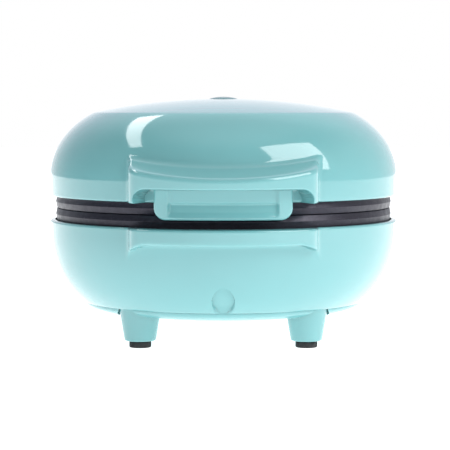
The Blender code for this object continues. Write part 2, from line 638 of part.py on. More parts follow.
def tongue(clearance):
    """The guard's upper edge, which sits in a slot in the handle's underside."""
    outer = GUARD_OUTER_RADIUS + clearance
    inner = GUARD_OUTER_RADIUS - TONGUE_THICKNESS - clearance
    half = TONGUE_HALF_WIDTH + clearance
    spread = math.degrees(math.asin(half / outer))
    front = arc((0, 0), (outer, outer), -90 - spread, -90 + spread, 6)
    spread = math.degrees(math.asin(half / inner))
    back = arc((0, 0), (inner, inner), -90 + spread, -90 - spread, 6)
    high = SHELF_UNDERSIDE_Z + TONGUE_HEIGHT - GAP + clearance
    return prism(front + back, SHELF_UNDERSIDE_Z - PAST / 2, high)


def ring_wall(inner, outer, low, high):
    return turned([(inner, low), (outer, low), (outer, high), (inner, high)])


def make_handle_guard(finish):
    """The finger tab under the handle: a curved plate with a stepped panel and a lip along its edge."""
    high = SHELF_UNDERSIDE_Z - GAP
    face = ring_wall(GUARD_INNER_RADIUS, GUARD_OUTER_RADIUS, GUARD_LOW_Z, high)
    guard = solid("handle_guard", face, finish)
    front = [(x, 2 * GUARD_LOW_Z - z) for x, z in
             arch_outline(GUARD_HALF_WIDTH, GUARD_LOW_Z, GUARD_CORNER, GUARD_LOW_Z - 2 * SHELF_UNDERSIDE)]
    combine(guard, "INTERSECT", [prism(front, -REACH, 0, "Y")])
    join(guard, [tongue(0)])
    half = GUARD_PANEL_HALF_WIDTH
    lip_z = GUARD_LOW_Z + GUARD_LIP
    steps = ((GUARD_PANEL_DEPTH, high - GAP), (GUARD_SCOOP_DEPTH, lip_z + GUARD_SCOOP_HEIGHT))
    for depth, top in steps:
        band = ring_wall(GUARD_OUTER_RADIUS - depth, GUARD_OUTER_RADIUS + PAST, lip_z, top)
        step = solid("step", band)
        combine(step, "INTERSECT", [prism(rectangle(-half, half, 0, CROWN_Z), -2 * REACH, 0, "Y")])
        cut(guard, [bmesh_of(step)])
    for side in (-1, 1):
        tip = -GUARD_OUTER_RADIUS + 2 * GUARD_PANEL_DEPTH
        hole = rod((side * GUARD_SCREW_X, GUARD_SCREW_Z), GUARD_SHANK_RADIUS + GAP, tip, 0, "Y")
        cut(guard, [hole])
    return guard


# ---- plates and heating --------------------------------------------------------------------------
def make_plate(name, into, finish):
    """A cast plate. Its face is at the split, and into is -1 or +1, the way its back points along Z."""
    face = SPLIT_Z + into * GAP / 2

    def level(depth):
        return face + into * depth

    leaning = PLATE_RADIUS - PLATE_TAPER
    skirt = PLATE_RADIUS - PLATE_SKIRT
    outline = [(0, face), (leaning, face), (PLATE_RADIUS, level(PLATE_RIDGE_DEPTH)),
               (leaning, level(2 * PLATE_RIDGE_DEPTH)), (leaning, level(PLATE_DEPTH)),
               (skirt, level(PLATE_DEPTH)), (skirt, level(PLATE_WEB)), (0, level(PLATE_WEB))]
    plate = solid(name, turned(outline), finish)
    centres = [(*polar(CAVITY_PITCH_RADIUS, a), face) for a in CAVITY_ANGLES]
    deep = CAVITY_TUBE_RADIUS + CAVITY_WALL
    reach = 2 * deep + CAVITY_RING_RADIUS
    behind = sorted((level(PLATE_WEB / 2), level(2 * deep)))
    for centre in centres:
        bulge = solid("bulge", ring_torus(centre, deep))
        around = rectangle(centre[0] - reach, centre[0] + reach, centre[1] - reach, centre[1] + reach)
        combine(bulge, "INTERSECT", [prism(around, *behind)])
        join(plate, [bmesh_of(bulge)])
    bosses = []
    for angle in BETWEEN_ANGLES:
        foot = sorted((level(PLATE_WEB / 2), level(REFLECTOR_DEPTH - GAP)))
        bosses.append(rod(polar(REFLECTOR_SCREW_PITCH_RADIUS, angle), BOSS_RADIUS, *foot))
        if into < 0:
            foot = (CASE_POCKET_ROOF_Z + CASE_POCKET_ROOF + GAP, level(PLATE_WEB / 2))
            bosses.append(rod(polar(CASE_SCREW_PITCH_RADIUS, angle), BOSS_RADIUS, *foot))
    join(plate, bosses)
    cuts = [ring_torus(centre, CAVITY_TUBE_RADIUS) for centre in centres]
    for angle in BETWEEN_ANGLES:
        span = sorted((level(REFLECTOR_DEPTH - GAP - SCREW_BITE), level(REFLECTOR_DEPTH + PAST)))
        cuts.append(rod(polar(REFLECTOR_SCREW_PITCH_RADIUS, angle), SCREW_HOLE_RADIUS, *span))
        place = polar(CASE_SCREW_PITCH_RADIUS, angle)
        if into < 0:
            low = CASE_POCKET_ROOF_Z + CASE_POCKET_ROOF + GAP
            cuts.append(rod(place, SCREW_HOLE_RADIUS, low - PAST, low + SCREW_BITE))
        else:
            cuts.append(rod(place, SCREW_HOLE_RADIUS, face - PAST, face + PAST))
            recess = face + SCREW_HEAD_HEIGHT / 2 + GAP
            cuts.append(rod(place, SCREW_HEAD_RADIUS + GAP, face - PAST, recess))
    cut(plate, cuts)
    return plate


def heater_path(into):
    """An open ring with both ends bent away from the plate, at the back."""
    level = SPLIT_Z + into * (GAP / 2 + HEATER_DEPTH)
    half_gap = HEATER_GAP_DEGREES / 2
    ring = arc((0, 0), (HEATER_RING_RADIUS, HEATER_RING_RADIUS), 90 + half_gap, 450 - half_gap, 20)
    points = [Vector((x, y, level)) for x, y in ring]
    ends = []
    for end, inner in ((points[0], points[1]), (points[-1], points[-2])):
        ahead = (end - inner).normalized()
        bend = []
        for step in range(1, 5):
            angle = math.radians(90 * step / 4)
            drop = Vector((0, 0, into)) * HEATER_BEND_RADIUS * (1 - math.cos(angle))
            bend.append(end + ahead * HEATER_BEND_RADIUS * math.sin(angle) + drop)
        bend.append(bend[-1] + Vector((0, 0, into)) * HEATER_END_LENGTH)
        ends.append(bend)
    return list(reversed(ends[0])) + points + ends[1]


def make_reflector(name, into, finish):
    """A thin pressed dish behind the heater, with holes for its screws and for the heater's ends."""
    near = SPLIT_Z + into * (GAP / 2 + REFLECTOR_DEPTH)
    far = near + into * REFLECTOR_THICKNESS
    rim = near - into * REFLECTOR_RIM
    skin = REFLECTOR_THICKNESS
    outline = [(0, near), (REFLECTOR_FLOOR_RADIUS - skin, near), (REFLECTOR_RADIUS - skin, rim),
               (REFLECTOR_RADIUS, rim), (REFLECTOR_FLOOR_RADIUS, far), (0, far)]
    reflector = solid(name, turned(outline), finish)
    low, high = sorted((near - into * PAST, far + into * PAST))
    cuts = [rod(polar(REFLECTOR_SCREW_PITCH_RADIUS, angle), SCREW_HOLE_RADIUS, low, high)
            for angle in BETWEEN_ANGLES]
    path = heater_path(into)
    cuts += [rod((path[i].x, path[i].y), REFLECTOR_HOLE_RADIUS, low, high, count=16) for i in (0, -1)]
    cut(reflector, cuts)
    return reflector


# ---- small pieces --------------------------------------------------------------------------------
def screw(name, place, seat, into, length, finish, head=(SCREW_HEAD_RADIUS, SCREW_HEAD_HEIGHT)):
    """A round-headed screw: its head ends at seat, and its shank runs on along into."""
    head_radius, head_height = head
    crown = head_radius - head_height / 2
    shank = SCREW_SHANK_RADIUS
    outline = [(0, -head_height), (crown, -head_height), (head_radius, -head_height / 2),
               (head_radius, 0), (shank, 0), (shank, length - shank), (shank / 2, length), (0, length)]
    shape = turned([(r, seat + into * h) for r, h in outline], SMALL_SEGMENTS)
    shape.transform(Matrix.Translation((*place, 0)))
    return solid(name, shape, finish)


def make_guard_screw(name, side, finish):
    """A screw from inside the lid through its side into the guard's tongue."""
    x = side * GUARD_SCREW_X
    seat = -math.sqrt((BODY_RADIUS - WALL) ** 2 - (abs(x) + GUARD_HEAD_RADIUS) ** 2) + GAP
    tip = -GUARD_OUTER_RADIUS + 2 * GUARD_PANEL_DEPTH + GAP
    back = seat + GUARD_HEAD_HEIGHT
    middle = seat + GUARD_HEAD_HEIGHT / 2
    crown = GUARD_HEAD_RADIUS - GUARD_HEAD_HEIGHT / 2
    outline = [(0, tip), (GUARD_SHANK_RADIUS, tip), (GUARD_SHANK_RADIUS, seat), (GUARD_HEAD_RADIUS, seat),
               (GUARD_HEAD_RADIUS, middle), (crown, back), (0, back)]
    shape = turned(outline, SMALL_SEGMENTS)
    shape.transform(Matrix.Translation((x, 0, GUARD_SCREW_Z)) @ Matrix.Rotation(-math.pi / 2, 4, "X"))
    return solid(name, shape, finish)


def make_pin(finish):
    """The hinge pin along X, with a head at its +X end."""
    end = LID_BARREL_HALF_WIDTH + GAP + EAR_WIDTH
    outline = [(0, -end), (PIN_RADIUS, -end), (PIN_RADIUS, end + GAP), (PIN_HEAD_RADIUS, end + GAP),
               (PIN_HEAD_RADIUS, end + GAP + PIN_HEAD_LENGTH), (0, end + GAP + PIN_HEAD_LENGTH)]
    shape = turned(outline, SMALL_SEGMENTS)
    shape.transform(Matrix.Translation((0, HINGE_Y, HINGE_Z)) @ Matrix.Rotation(math.pi / 2, 4, "Y"))
    return solid("hinge_pin", shape, finish)


def make_rubber_foot(name, place, finish):
    top = FOOT_BOTTOM_Z + PAD_STUD_HEIGHT - GAP
    shape = turned([(0, 0), (PAD_RADIUS, 0), (PAD_RADIUS, PAD_HEIGHT), (PAD_STUD_RADIUS, PAD_HEIGHT),
                    (PAD_STUD_RADIUS, top), (0, top)], 20)
    shape.transform(Matrix.Translation((*place, 0)))
    return solid(name, shape, finish)


def along_back(outline, segments):
    """An outline of (radius, y) points turned about the cord inlet's axis."""
    shape = turned(outline, segments)
    shape.transform(Matrix.Translation((0, 0, INLET_Z)) @ Matrix.Rotation(-math.pi / 2, 4, "X"))
    return shape


def make_cord_gland(finish):
    """The bush that the cord passes through: a flange in its seat and a barrel through the wall."""
    inner = INLET_INNER_Y - 2 * GAP - GLAND_NUT_LENGTH
    seat = INLET_SPOTFACE_Y + GAP
    outer = seat + GLAND_FLANGE_LENGTH
    outline = [(GLAND_BORE_RADIUS, inner), (GLAND_BARREL_RADIUS, inner), (GLAND_BARREL_RADIUS, seat),
               (GLAND_FLANGE_RADIUS, seat), (GLAND_FLANGE_RADIUS, outer - 2 * GAP),
               (GLAND_FLANGE_RADIUS - 2 * GAP, outer), (GLAND_BORE_RADIUS, outer)]
    return solid("cord_gland", along_back(outline, 20), finish)


def make_gland_nut(finish):
    high = INLET_INNER_Y - GAP
    hexagon = along_back([(0, high - GLAND_NUT_LENGTH), (GLAND_NUT_RADIUS, high - GLAND_NUT_LENGTH),
                          (GLAND_NUT_RADIUS, high), (0, high)], 6)
    nut = solid("gland_nut", hexagon, finish)
    cut(nut, [rod((0, INLET_Z), GLAND_BARREL_RADIUS + GAP, 0, BODY_RADIUS, "Y", count=20)])
    return nut


def make_lens(finish):
    seat = CROWN_Z - LENS_SEAT_DEPTH + GAP
    tip = seat - LENS_STEM_LENGTH
    edge = CROWN_Z - 2 * GAP
    dome = arc((0, edge), (LENS_RADIUS, CROWN_Z + LENS_RISE - edge), 0, 90, 6)[:-1]
    outline = [(0, tip), (LENS_STEM_RADIUS, tip), (LENS_STEM_RADIUS, seat), (LENS_RADIUS, seat),
               *dome, (0, CROWN_Z + LENS_RISE)]
    return solid("indicator_lens", turned(outline, 20), finish)


def lamp_levels():
    """The holder's top and bottom, under the lens's stem."""
    high = CROWN_Z - LENS_SEAT_DEPTH - LENS_STEM_LENGTH
    return high, high - HOLDER_LENGTH


def make_lamp_holder(finish):
    high, low = lamp_levels()
    inner = LAMP_RADIUS + GAP
    outer = inner + HOLDER_WALL
    outline = [(inner, low), (outer, low), (outer, high), (inner, high)]
    return solid("lamp_holder", turned(outline, 16), finish)


def make_lamp(finish):
    high, _ = lamp_levels()
    low = high - LAMP_LENGTH
    tip = arc((0, high - GAP - LAMP_RADIUS), (LAMP_RADIUS, LAMP_RADIUS), 0, 90, 3)[:-1]
    outline = [(0, low), (LAMP_RADIUS, low), *tip, (0, high - GAP)]
    return solid("indicator_lamp", turned(outline, 16), finish)


def make_thermostat(finish):
    """The round bimetal switch on the back of the lid's reflector."""
    low = SPLIT_Z + GAP / 2 + REFLECTOR_DEPTH + REFLECTOR_THICKNESS + GAP
    high = low + THERMOSTAT_HEIGHT
    flange = low + THERMOSTAT_FLANGE
    shape = turned([(0, low), (THERMOSTAT_RADIUS, low), (THERMOSTAT_RADIUS, flange),
                    (THERMOSTAT_CAP_RADIUS, flange), (THERMOSTAT_CAP_RADIUS, high), (0, high)], 20)
    shape.transform(Matrix.Translation((*THERMOSTAT_PLACE, 0)))
    return solid("thermostat", shape, finish)


def make_terminal_block(finish):
    """The block on the cover where the cord's cores meet the heaters' leads, with two slots."""
    width, depth, height = TERMINAL_SIZE
    low = COVER_FLOOR_Z + COVER_WALL + GAP
    plan = rectangle(-width / 2, width / 2, TERMINAL_Y - depth / 2, TERMINAL_Y + depth / 2)
    block = solid("terminal_block", prism(plan, low, low + height), finish)
    slot_floor = low + height - TERMINAL_SLOT_DEPTH
    slots = [prism(rectangle(x - GAP, x + GAP, -BODY_RADIUS, BODY_RADIUS), slot_floor, low + 2 * height)
             for x in (-width / 6, width / 6)]
    cut(block, slots)
    return block


def make_base_leads(finish, fuse_finish):
    """The two leads from the lower heater's ends to the terminal block, one with the thermal fuse."""
    path = heater_path(-1)
    entry_y = TERMINAL_Y + TERMINAL_SIZE[1] / 2 + GAP
    entry_z = COVER_FLOOR_Z + COVER_WALL + GAP + TERMINAL_SIZE[2] / 2
    made = []
    for end, name in ((path[0], "lower_heater_lead_left"), (path[-1], "lower_heater_lead_right")):
        side = math.copysign(1, end.x)
        start = end + Vector((0, 0, -2 * GAP))
        target = Vector((side * TERMINAL_SIZE[0] / 3, entry_y, entry_z))
        if side < 0:
            fuse_end = target + Vector((0, FUSE_LENGTH + GAP, 0))
            fuse = rod((target.x, target.z), FUSE_RADIUS, target.y, fuse_end.y - GAP, "Y")
            made.append(solid("thermal_fuse", fuse, fuse_finish))
            target = fuse_end
        points = bezier(start, (0, 0, -LEAD_PULL), (0, LEAD_PULL, 0), target)
        made.append(wire(name, points, LEAD_RADIUS, finish))
    return made


def make_lid_leads(finish):
    """The lid's leads: one from the heater to the thermostat, one to a joint, and the lamp's two."""
    path = heater_path(1)
    left_end, right_end = sorted((path[0], path[-1]), key=lambda point: point.x)
    _, holder_low = lamp_levels()
    lamp_low = lamp_levels()[0] - LAMP_LENGTH - GAP
    top = SPLIT_Z + GAP / 2 + REFLECTOR_DEPTH + REFLECTOR_THICKNESS + 4 * GAP + THERMOSTAT_HEIGHT
    spot = Vector((*THERMOSTAT_PLACE, top))
    joint = Vector((*LEAD_JOIN_PLACE, holder_low - LEAD_PULL))
    clear = Vector((0, 0, 2 * GAP))
    rise, drop = (0, 0, LEAD_LONG_PULL), (0, 0, -LEAD_LONG_PULL)
    beside = Vector((LAMP_LEAD_SPREAD, -LAMP_LEAD_RADIUS, 0))
    heater_tab = spot + Vector((0, TAB_OFFSET, 0))
    lamp_tab = spot + Vector((-TAB_OFFSET, 0, 0))
    lamp_left = Vector((-LAMP_LEAD_SPREAD, 0, lamp_low))
    lamp_right = Vector((LAMP_LEAD_SPREAD, 0, lamp_low))
    above, right, behind = (0, 0, LEAD_PULL), (LEAD_PULL, 0, 0), (0, LEAD_PULL, 0)
    runs = [("upper_heater_lead_right", LEAD_RADIUS, right_end + clear, rise, above, heater_tab),
            ("upper_heater_lead_left", LEAD_RADIUS, left_end + clear, rise, behind, joint),
            ("lamp_lead_left", LAMP_LEAD_RADIUS, lamp_left, drop, right, joint + beside),
            ("lamp_lead_right", LAMP_LEAD_RADIUS, lamp_right, drop, above, lamp_tab)]
    return [wire(name, bezier(start, leaving, arriving, end), radius, finish)
            for name, radius, start, leaving, arriving, end in runs]


# ---- assembly ------------------------------------------------------------------------------------
def screw_sets(steel):
    """Every screw of the base and of the lid, as two lists."""
    base, lid = [], []
    for number, angle in enumerate(BETWEEN_ANGLES, 1):
        place = polar(CASE_SCREW_PITCH_RADIUS, angle)
        length = CASE_POCKET_ROOF + SCREW_BITE
        base.append(screw(f"case_screw_{number}", place, CASE_POCKET_ROOF_Z - GAP, 1, length, steel,
                          (CASE_SCREW_HEAD_RADIUS, SCREW_HEAD_HEIGHT)))
        face = SPLIT_Z + GAP / 2 + SCREW_HEAD_HEIGHT / 2
        lid.append(screw(f"upper_plate_screw_{number}", place, face, 1, SCREW_BITE, steel,
                         (SCREW_HEAD_RADIUS, SCREW_HEAD_HEIGHT / 2)))
        place = polar(REFLECTOR_SCREW_PITCH_RADIUS, angle)
        for into, name, owner in ((-1, "lower", base), (1, "upper", lid)):
            back = SPLIT_Z + into * (GAP / 2 + REFLECTOR_DEPTH + REFLECTOR_THICKNESS + GAP)
            owner.append(screw(f"{name}_reflector_screw_{number}", place, back, -into, SCREW_BITE, steel))
    for number, angle in enumerate(CAVITY_ANGLES, 1):
        seat = COVER_FLOOR_Z + SCREW_HEAD_HEIGHT
        base.append(screw(f"cover_screw_{number}", polar(COVER_SCREW_PITCH_RADIUS, angle), seat, 1,
                          SCREW_BITE, steel))
    for side, name in ((-1, "left"), (1, "right")):
        lid.append(make_guard_screw(f"guard_screw_{name}", side, steel))
    return base, lid


def main():
    for thing in list(bpy.data.objects):
        bpy.data.objects.remove(thing)

    mint = material("mint_plastic", (0.33, 0.66, 0.67), 0.12)
    nonstick = material("nonstick_coating", (0.018, 0.017, 0.021), 0.45, 0.3)
    sheath = material("heater_sheath", (0.16, 0.14, 0.12), 0.5, 0.9)
    aluminium = material("pressed_aluminium", (0.75, 0.76, 0.78), 0.3, 1.0)
    steel = material("plated_steel", (0.62, 0.62, 0.64), 0.25, 1.0)
    rubber = material("black_rubber", (0.02, 0.02, 0.022), 0.7)
    nylon = material("white_nylon", (0.78, 0.77, 0.72), 0.45)
    lens = material("lamp_lens", (0.35, 0.55, 0.56), 0.1)
    glass = material("lamp_glass", (0.85, 0.55, 0.35), 0.1)
    wire_cover = material("lead_sleeve", (0.80, 0.80, 0.78), 0.6)

    base_screws, lid_screws = screw_sets(steel)
    make_lower_shell(mint)
    make_bottom_cover(mint)
    make_plate("lower_plate", -1, nonstick)
    wire("lower_heater", heater_path(-1), HEATER_TUBE_RADIUS, sheath, 2)
    make_reflector("lower_reflector", -1, aluminium)
    make_terminal_block(nylon)
    make_cord_gland(rubber)
    make_gland_nut(nylon)
    make_pin(steel)
    make_base_leads(wire_cover, aluminium)
    for place in feet_places():
        depth = "front" if place[1] < 0 else "rear"
        side = "left" if place[0] < 0 else "right"
        make_rubber_foot(f"rubber_foot_{depth}_{side}", place, rubber)

    lid = [
        make_upper_shell(mint),
        make_handle_guard(mint),
        make_plate("upper_plate", 1, nonstick),
        wire("upper_heater", heater_path(1), HEATER_TUBE_RADIUS, sheath, 2),
        make_reflector("upper_reflector", 1, aluminium),
        make_thermostat(nylon),
        make_lens(lens),
        make_lamp_holder(nylon),
        make_lamp(glass),
        *make_lid_leads(wire_cover),
        *lid_screws,
    ]
    hinge = bpy.data.objects.new("lid_hinge_axis", None)
    hinge.location = (0, HINGE_Y, HINGE_Z)
    bpy.context.scene.collection.objects.link(hinge)
    for piece in lid:
        piece.parent = hinge
        piece.matrix_parent_inverse = Matrix.Translation((0, -HINGE_Y, -HINGE_Z))

    for thing in bpy.data.objects:
        if thing.type == "MESH":
            thing.data.shade_smooth()
            thing.data.set_sharp_from_angle(angle=math.radians(32))


main()
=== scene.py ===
"""Looks of the mini donut maker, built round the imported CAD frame.

Metres, +Z up, the front faces -Y. Overall sizes come from the frame; the rest are the named sizes below.
The shells are fine grids whose radius is found along level rays, so that each handle grows out of its
shell in one surface. Every replaced piece stays inside the place of its CAD node.
"""
import json
import math

import bmesh
import bpy
import numpy as np
from mathutils import Matrix, Vector, geometry


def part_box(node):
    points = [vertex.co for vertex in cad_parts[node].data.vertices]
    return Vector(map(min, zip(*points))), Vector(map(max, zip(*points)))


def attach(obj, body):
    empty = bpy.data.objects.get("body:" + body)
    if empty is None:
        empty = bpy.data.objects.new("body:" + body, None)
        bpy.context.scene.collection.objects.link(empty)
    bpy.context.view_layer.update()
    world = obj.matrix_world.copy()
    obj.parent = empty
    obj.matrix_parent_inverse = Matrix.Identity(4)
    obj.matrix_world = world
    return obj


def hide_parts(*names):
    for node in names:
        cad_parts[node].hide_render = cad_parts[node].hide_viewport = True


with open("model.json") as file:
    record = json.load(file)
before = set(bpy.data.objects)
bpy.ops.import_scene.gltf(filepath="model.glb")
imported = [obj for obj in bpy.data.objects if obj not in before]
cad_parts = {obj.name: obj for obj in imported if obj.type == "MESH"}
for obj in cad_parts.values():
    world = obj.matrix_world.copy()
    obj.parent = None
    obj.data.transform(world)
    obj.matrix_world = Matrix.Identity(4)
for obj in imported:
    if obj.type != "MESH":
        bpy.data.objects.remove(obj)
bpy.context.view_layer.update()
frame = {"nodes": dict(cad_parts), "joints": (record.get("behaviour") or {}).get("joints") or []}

# ---- sizes read from the frame -------------------------------------------------------------------
lid_low, lid_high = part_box("upper_shell")
base_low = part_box("lower_shell")[0]
BODY_RADIUS = lid_high.x
REACH = -lid_low.y
CROWN_Z = lid_high.z
GAP = 0.0003
SPLIT_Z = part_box("upper_plate")[0].z - GAP / 2
PLATE_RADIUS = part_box("upper_plate")[1].x
HINGE = Vector(frame["joints"][0]["pos_m"])
FOOT_BOTTOM_Z = base_low.z

# ---- shells --------------------------------------------------------------------------------------
RIM_GAP = 0.0089
LID_RIM_Z = SPLIT_Z + RIM_GAP / 2
BASE_RIM_Z = SPLIT_Z - RIM_GAP / 2
WALL = 0.0018
RIM_ROUND = 0.0008
SHOULDER_DEPTH = 0.0351
SHOULDER_CENTRE = BODY_RADIUS - SHOULDER_DEPTH
LID_SHOULDER_Z = LID_RIM_Z + 0.0069
CREASE_RADIUS = BODY_RADIUS - 0.0162
CREASE_DROP = 0.0052
CREASE_Z = CROWN_Z - CREASE_DROP
BASE_SHOULDER_Z = BASE_RIM_Z - 0.0042
PARTING_RADIUS = BODY_RADIUS - 0.0122
PARTING_Z = 0.0142

# ---- handles -------------------------------------------------------------------------------------
HANDLE_HALF_WIDTH = 0.0330
HANDLE_BOW = 0.0112
HANDLE_CORNER = 0.0036
SHELF_UNDERSIDE_Z = LID_RIM_Z + 0.0050
SHELF_FRONT_Z = SHELF_UNDERSIDE_Z + 0.0036
SHELF_SLOPE = 0.29
SHELF_LEG = 0.0020
ARCH_CORNER = 0.0042
LOWER_REACH = REACH - 0.0043
LOWER_UNDERSIDE_Z = BASE_RIM_Z - 0.0056
LOWER_ARCH_HALF_WIDTH = 0.0365
LOWER_FLARE = (0.0105, 0.0120)
EDGE_ROUND = 0.0014
FILLET = 0.0018

# ---- finger tab ----------------------------------------------------------------------------------
TAB_HALF_WIDTH = 0.0239
TAB_INNER_RADIUS = BODY_RADIUS + GAP
TAB_OUTER_RADIUS = TAB_INNER_RADIUS + 0.0046
TAB_LOW_Z = LID_RIM_Z - 0.0057
TAB_CORNER = 0.0041
TAB_EDGE_ROUND = 0.0010
TAB_PANEL_HALF_WIDTH = 0.0187
TAB_PANEL_DEPTH = 0.0009
TAB_SCOOP_DEPTH = 0.0019
TAB_LIP = 0.0013
TAB_RIDGE_Z = TAB_LOW_Z + 0.0059
TAB_SOFTNESS = 0.0008
TAB_TONGUE_HALF_WIDTH = 0.0095

# ---- feet, pockets and fasteners -----------------------------------------------------------------
FOOT_TOP_RADIUS = 0.0077
FOOT_END_RADIUS = 0.0058
POCKET_RADIUS = 0.0040
POCKET_PITCH = BODY_RADIUS - 0.0086
POCKET_ROOF_Z = 0.0316
SCREW_HEAD = (0.0028, 0.0017)
POCKET_SCREW_HEAD = (0.0033, 0.0017)
PLATE_SCREW_HEAD = (0.0028, 0.00085)
SHANK_RADIUS = 0.0015
CUT_TOP = 0.03
BETWEEN_ANGLES = (-90, 30, 150)
CAVITY_ANGLES = (90, 210, 330)

# ---- hinge ---------------------------------------------------------------------------------------
BARREL_RADIUS = 0.0045
BARREL_HALF_WIDTH = 0.0195
EAR_WIDTH = 0.006
LUG_ROOT = 0.009

# ---- plates --------------------------------------------------------------------------------------
PLATE_WEB = 0.0025
PLATE_DEPTH = 0.0062
PLATE_SKIRT = 0.0025
PLATE_TAPER = 0.0004
PLATE_RIDGE_DEPTH = 0.00215
CAVITY_RING_RADIUS = 0.0155
CAVITY_TUBE_RADIUS = 0.0090
CAVITY_WALL = 0.0022
CAVITY_LIP = 0.0007
CAVITY_PITCH = PLATE_RADIUS - 0.0075 - CAVITY_RING_RADIUS - CAVITY_TUBE_RADIUS

# ---- studio: radiances by compass side, at four heights above the floor --------------------------
STUDIO_HEIGHTS = (0.0, 0.45, 0.8, 1.0)
STUDIO_TOP = (0.60, 0.62, 0.64)
STUDIO = {"front": ((0.95, 0.92, 0.94), (0.34, 0.34, 0.35), (0.22, 0.23, 0.25)),
          "back": ((1.00, 1.04, 1.08), (0.80, 0.86, 0.98), (1.00, 1.20, 1.30)),
          "left": ((0.15, 0.16, 0.20), (0.20, 0.24, 0.26), (0.10, 0.12, 0.13)),
          "right": ((0.50, 0.48, 0.50), (0.50, 0.50, 0.48), (0.20, 0.22, 0.23))}
FLOOR_GLOW = 1.0
FLOOR_TINT = (1.0, 1.0, 1.0)
STRIP_RADIANCE = 4.5
WINDOW_RADIANCE = 4.6
STRIP_MIDDLE = (-0.80, 0.35, 1.27)
STRIP_SIDES = ((-0.866, 0.5, 0), (-0.5, -0.866, 0))
STRIP_SIZE = (0.24, 1.38)
WINDOW_MIDDLE = (0.825, -0.521, 0.827)
WINDOW_SIDES = ((0.637, 0.768, -0.063), (-0.289, 0.315, 0.904))
WINDOW_SIZE = (0.76, 0.90)


# ---- number helpers ------------------------------------------------------------------------------
def polar(radius, degrees):
    angle = math.radians(degrees)
    return radius * math.cos(angle), radius * math.sin(angle)


def arc(centre, semi_axes, start, end, steps):
    """Points along an ellipse from start to end, in degrees, both ends included."""
    turns = np.radians(np.linspace(start, end, steps + 1))
    return [(centre[0] + semi_axes[0] * math.cos(t), centre[1] + semi_axes[1] * math.sin(t)) for t in turns]


def smooth_min(a, b, size):
    """The lower of two fields, with a round blend of the given size between them."""
    share = np.clip(0.5 + 0.5 * (b - a) / size, 0, 1)
    return b * (1 - share) + a * share - size * share * (1 - share)


def smooth_max(a, b, size):
    return -smooth_min(-a, -b, size)


def smooth_step(value, low, high):
    share = np.clip((value - low) / (high - low), 0, 1)
    return share * share * (3 - 2 * share)


def joined_steps(*stretches):
    """Increasing values from (start, end, step) stretches that follow on from each other."""
    values = [np.arange(start, end - step / 4, step) for start, end, step in stretches]
    return np.concatenate(values)


# ---- mesh helpers --------------------------------------------------------------------------------
def grid(rows, close_rows=True, close_columns=True):
    """Corners and faces of a grid of points with shape (rows, columns, 3)."""
    count, across = rows.shape[:2]
    index = np.arange(count * across).reshape(count, across)
    down = index if close_rows else index[:-1]
    below = np.roll(index, -1, axis=0)[: len(down)]
    if close_columns:
        quads = (down, np.roll(down, -1, axis=1), np.roll(below, -1, axis=1), below)
    else:
        quads = (down[:, :-1], down[:, 1:], below[:, 1:], below[:, :-1])
    faces = np.stack([part.ravel() for part in quads], axis=1)
    return rows.reshape(-1, 3), faces


def lathe(profile, count, centre=(0.0, 0.0), close=True):
    """The (radius, height) profile turned about a vertical axis."""
    turns = np.linspace(0, 2 * math.pi, count, endpoint=False)
    outline = np.array(profile, float)
    rows = np.empty((len(outline), count, 3))
    rows[..., 0] = centre[0] + outline[:, :1] * np.cos(turns)
    rows[..., 1] = centre[1] + outline[:, :1] * np.sin(turns)
    rows[..., 2] = outline[:, 1:]
    return grid(rows, close_rows=close)


def moved(part, matrix):
    """The part's corners carried by a matrix."""
    turned = np.array(matrix.to_3x3()) @ part[0].T
    return turned.T + np.array(matrix.translation), part[1]


def shape_of(part):
    """A bmesh from corners and faces, with doubled corners merged and its faces pointing out."""
    shape = bmesh.new()
    corners = [shape.verts.new(point) for point in part[0]]
    for face in part[1]:
        loop = list(dict.fromkeys(corners[i] for i in face))
        if len(loop) > 2:
            shape.faces.new(loop)
    bmesh.ops.remove_doubles(shape, verts=shape.verts, dist=1e-6)
    bmesh.ops.recalc_face_normals(shape, faces=shape.faces)
    return shape


def prism_shape(outline, low, high, bevel=0.0, segments=3):
    """A (y, z) outline pushed along X from low to high, with its edges rounded."""
    shape = bmesh.new()
    near = [shape.verts.new((low, y, z)) for y, z in outline]
    far = [shape.verts.new((high, y, z)) for y, z in outline]
    ends = [shape.faces.new(near), shape.faces.new(far)]
    for i in range(len(outline)):
        j = (i + 1) % len(outline)
        shape.faces.new((near[i], near[j], far[j], far[i]))
    bmesh.ops.recalc_face_normals(shape, faces=shape.faces)
    if bevel:
        edges = list({edge for end in ends for edge in end.edges})
        bmesh.ops.bevel(shape, geom=edges, offset=bevel, segments=segments, profile=0.5, affect="EDGES")
    return shape


def object_from(name, shapes, material, sharp=35):
    """One object from one or more bmeshes, which are used up."""
    mesh = bpy.data.meshes.new(name)
    whole = bmesh.new()
    for shape in shapes:
        part = bpy.data.meshes.new("part")
        shape.to_mesh(part)
        shape.free()
        whole.from_mesh(part)
        bpy.data.meshes.remove(part)
    whole.to_mesh(mesh)
    whole.free()
    mesh.materials.append(material)
    mesh.shade_smooth()
    mesh.set_sharp_from_angle(angle=math.radians(sharp))
    made = bpy.data.objects.new(name, mesh)
    bpy.context.scene.collection.objects.link(made)
    return made


def place(piece, body, slot, *nodes):
    """The piece rides on a body and stands for its CAD nodes, which it hides. The slot argument is not used.
    """
    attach(piece, body)
    if nodes:
        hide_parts(*nodes)
    return piece


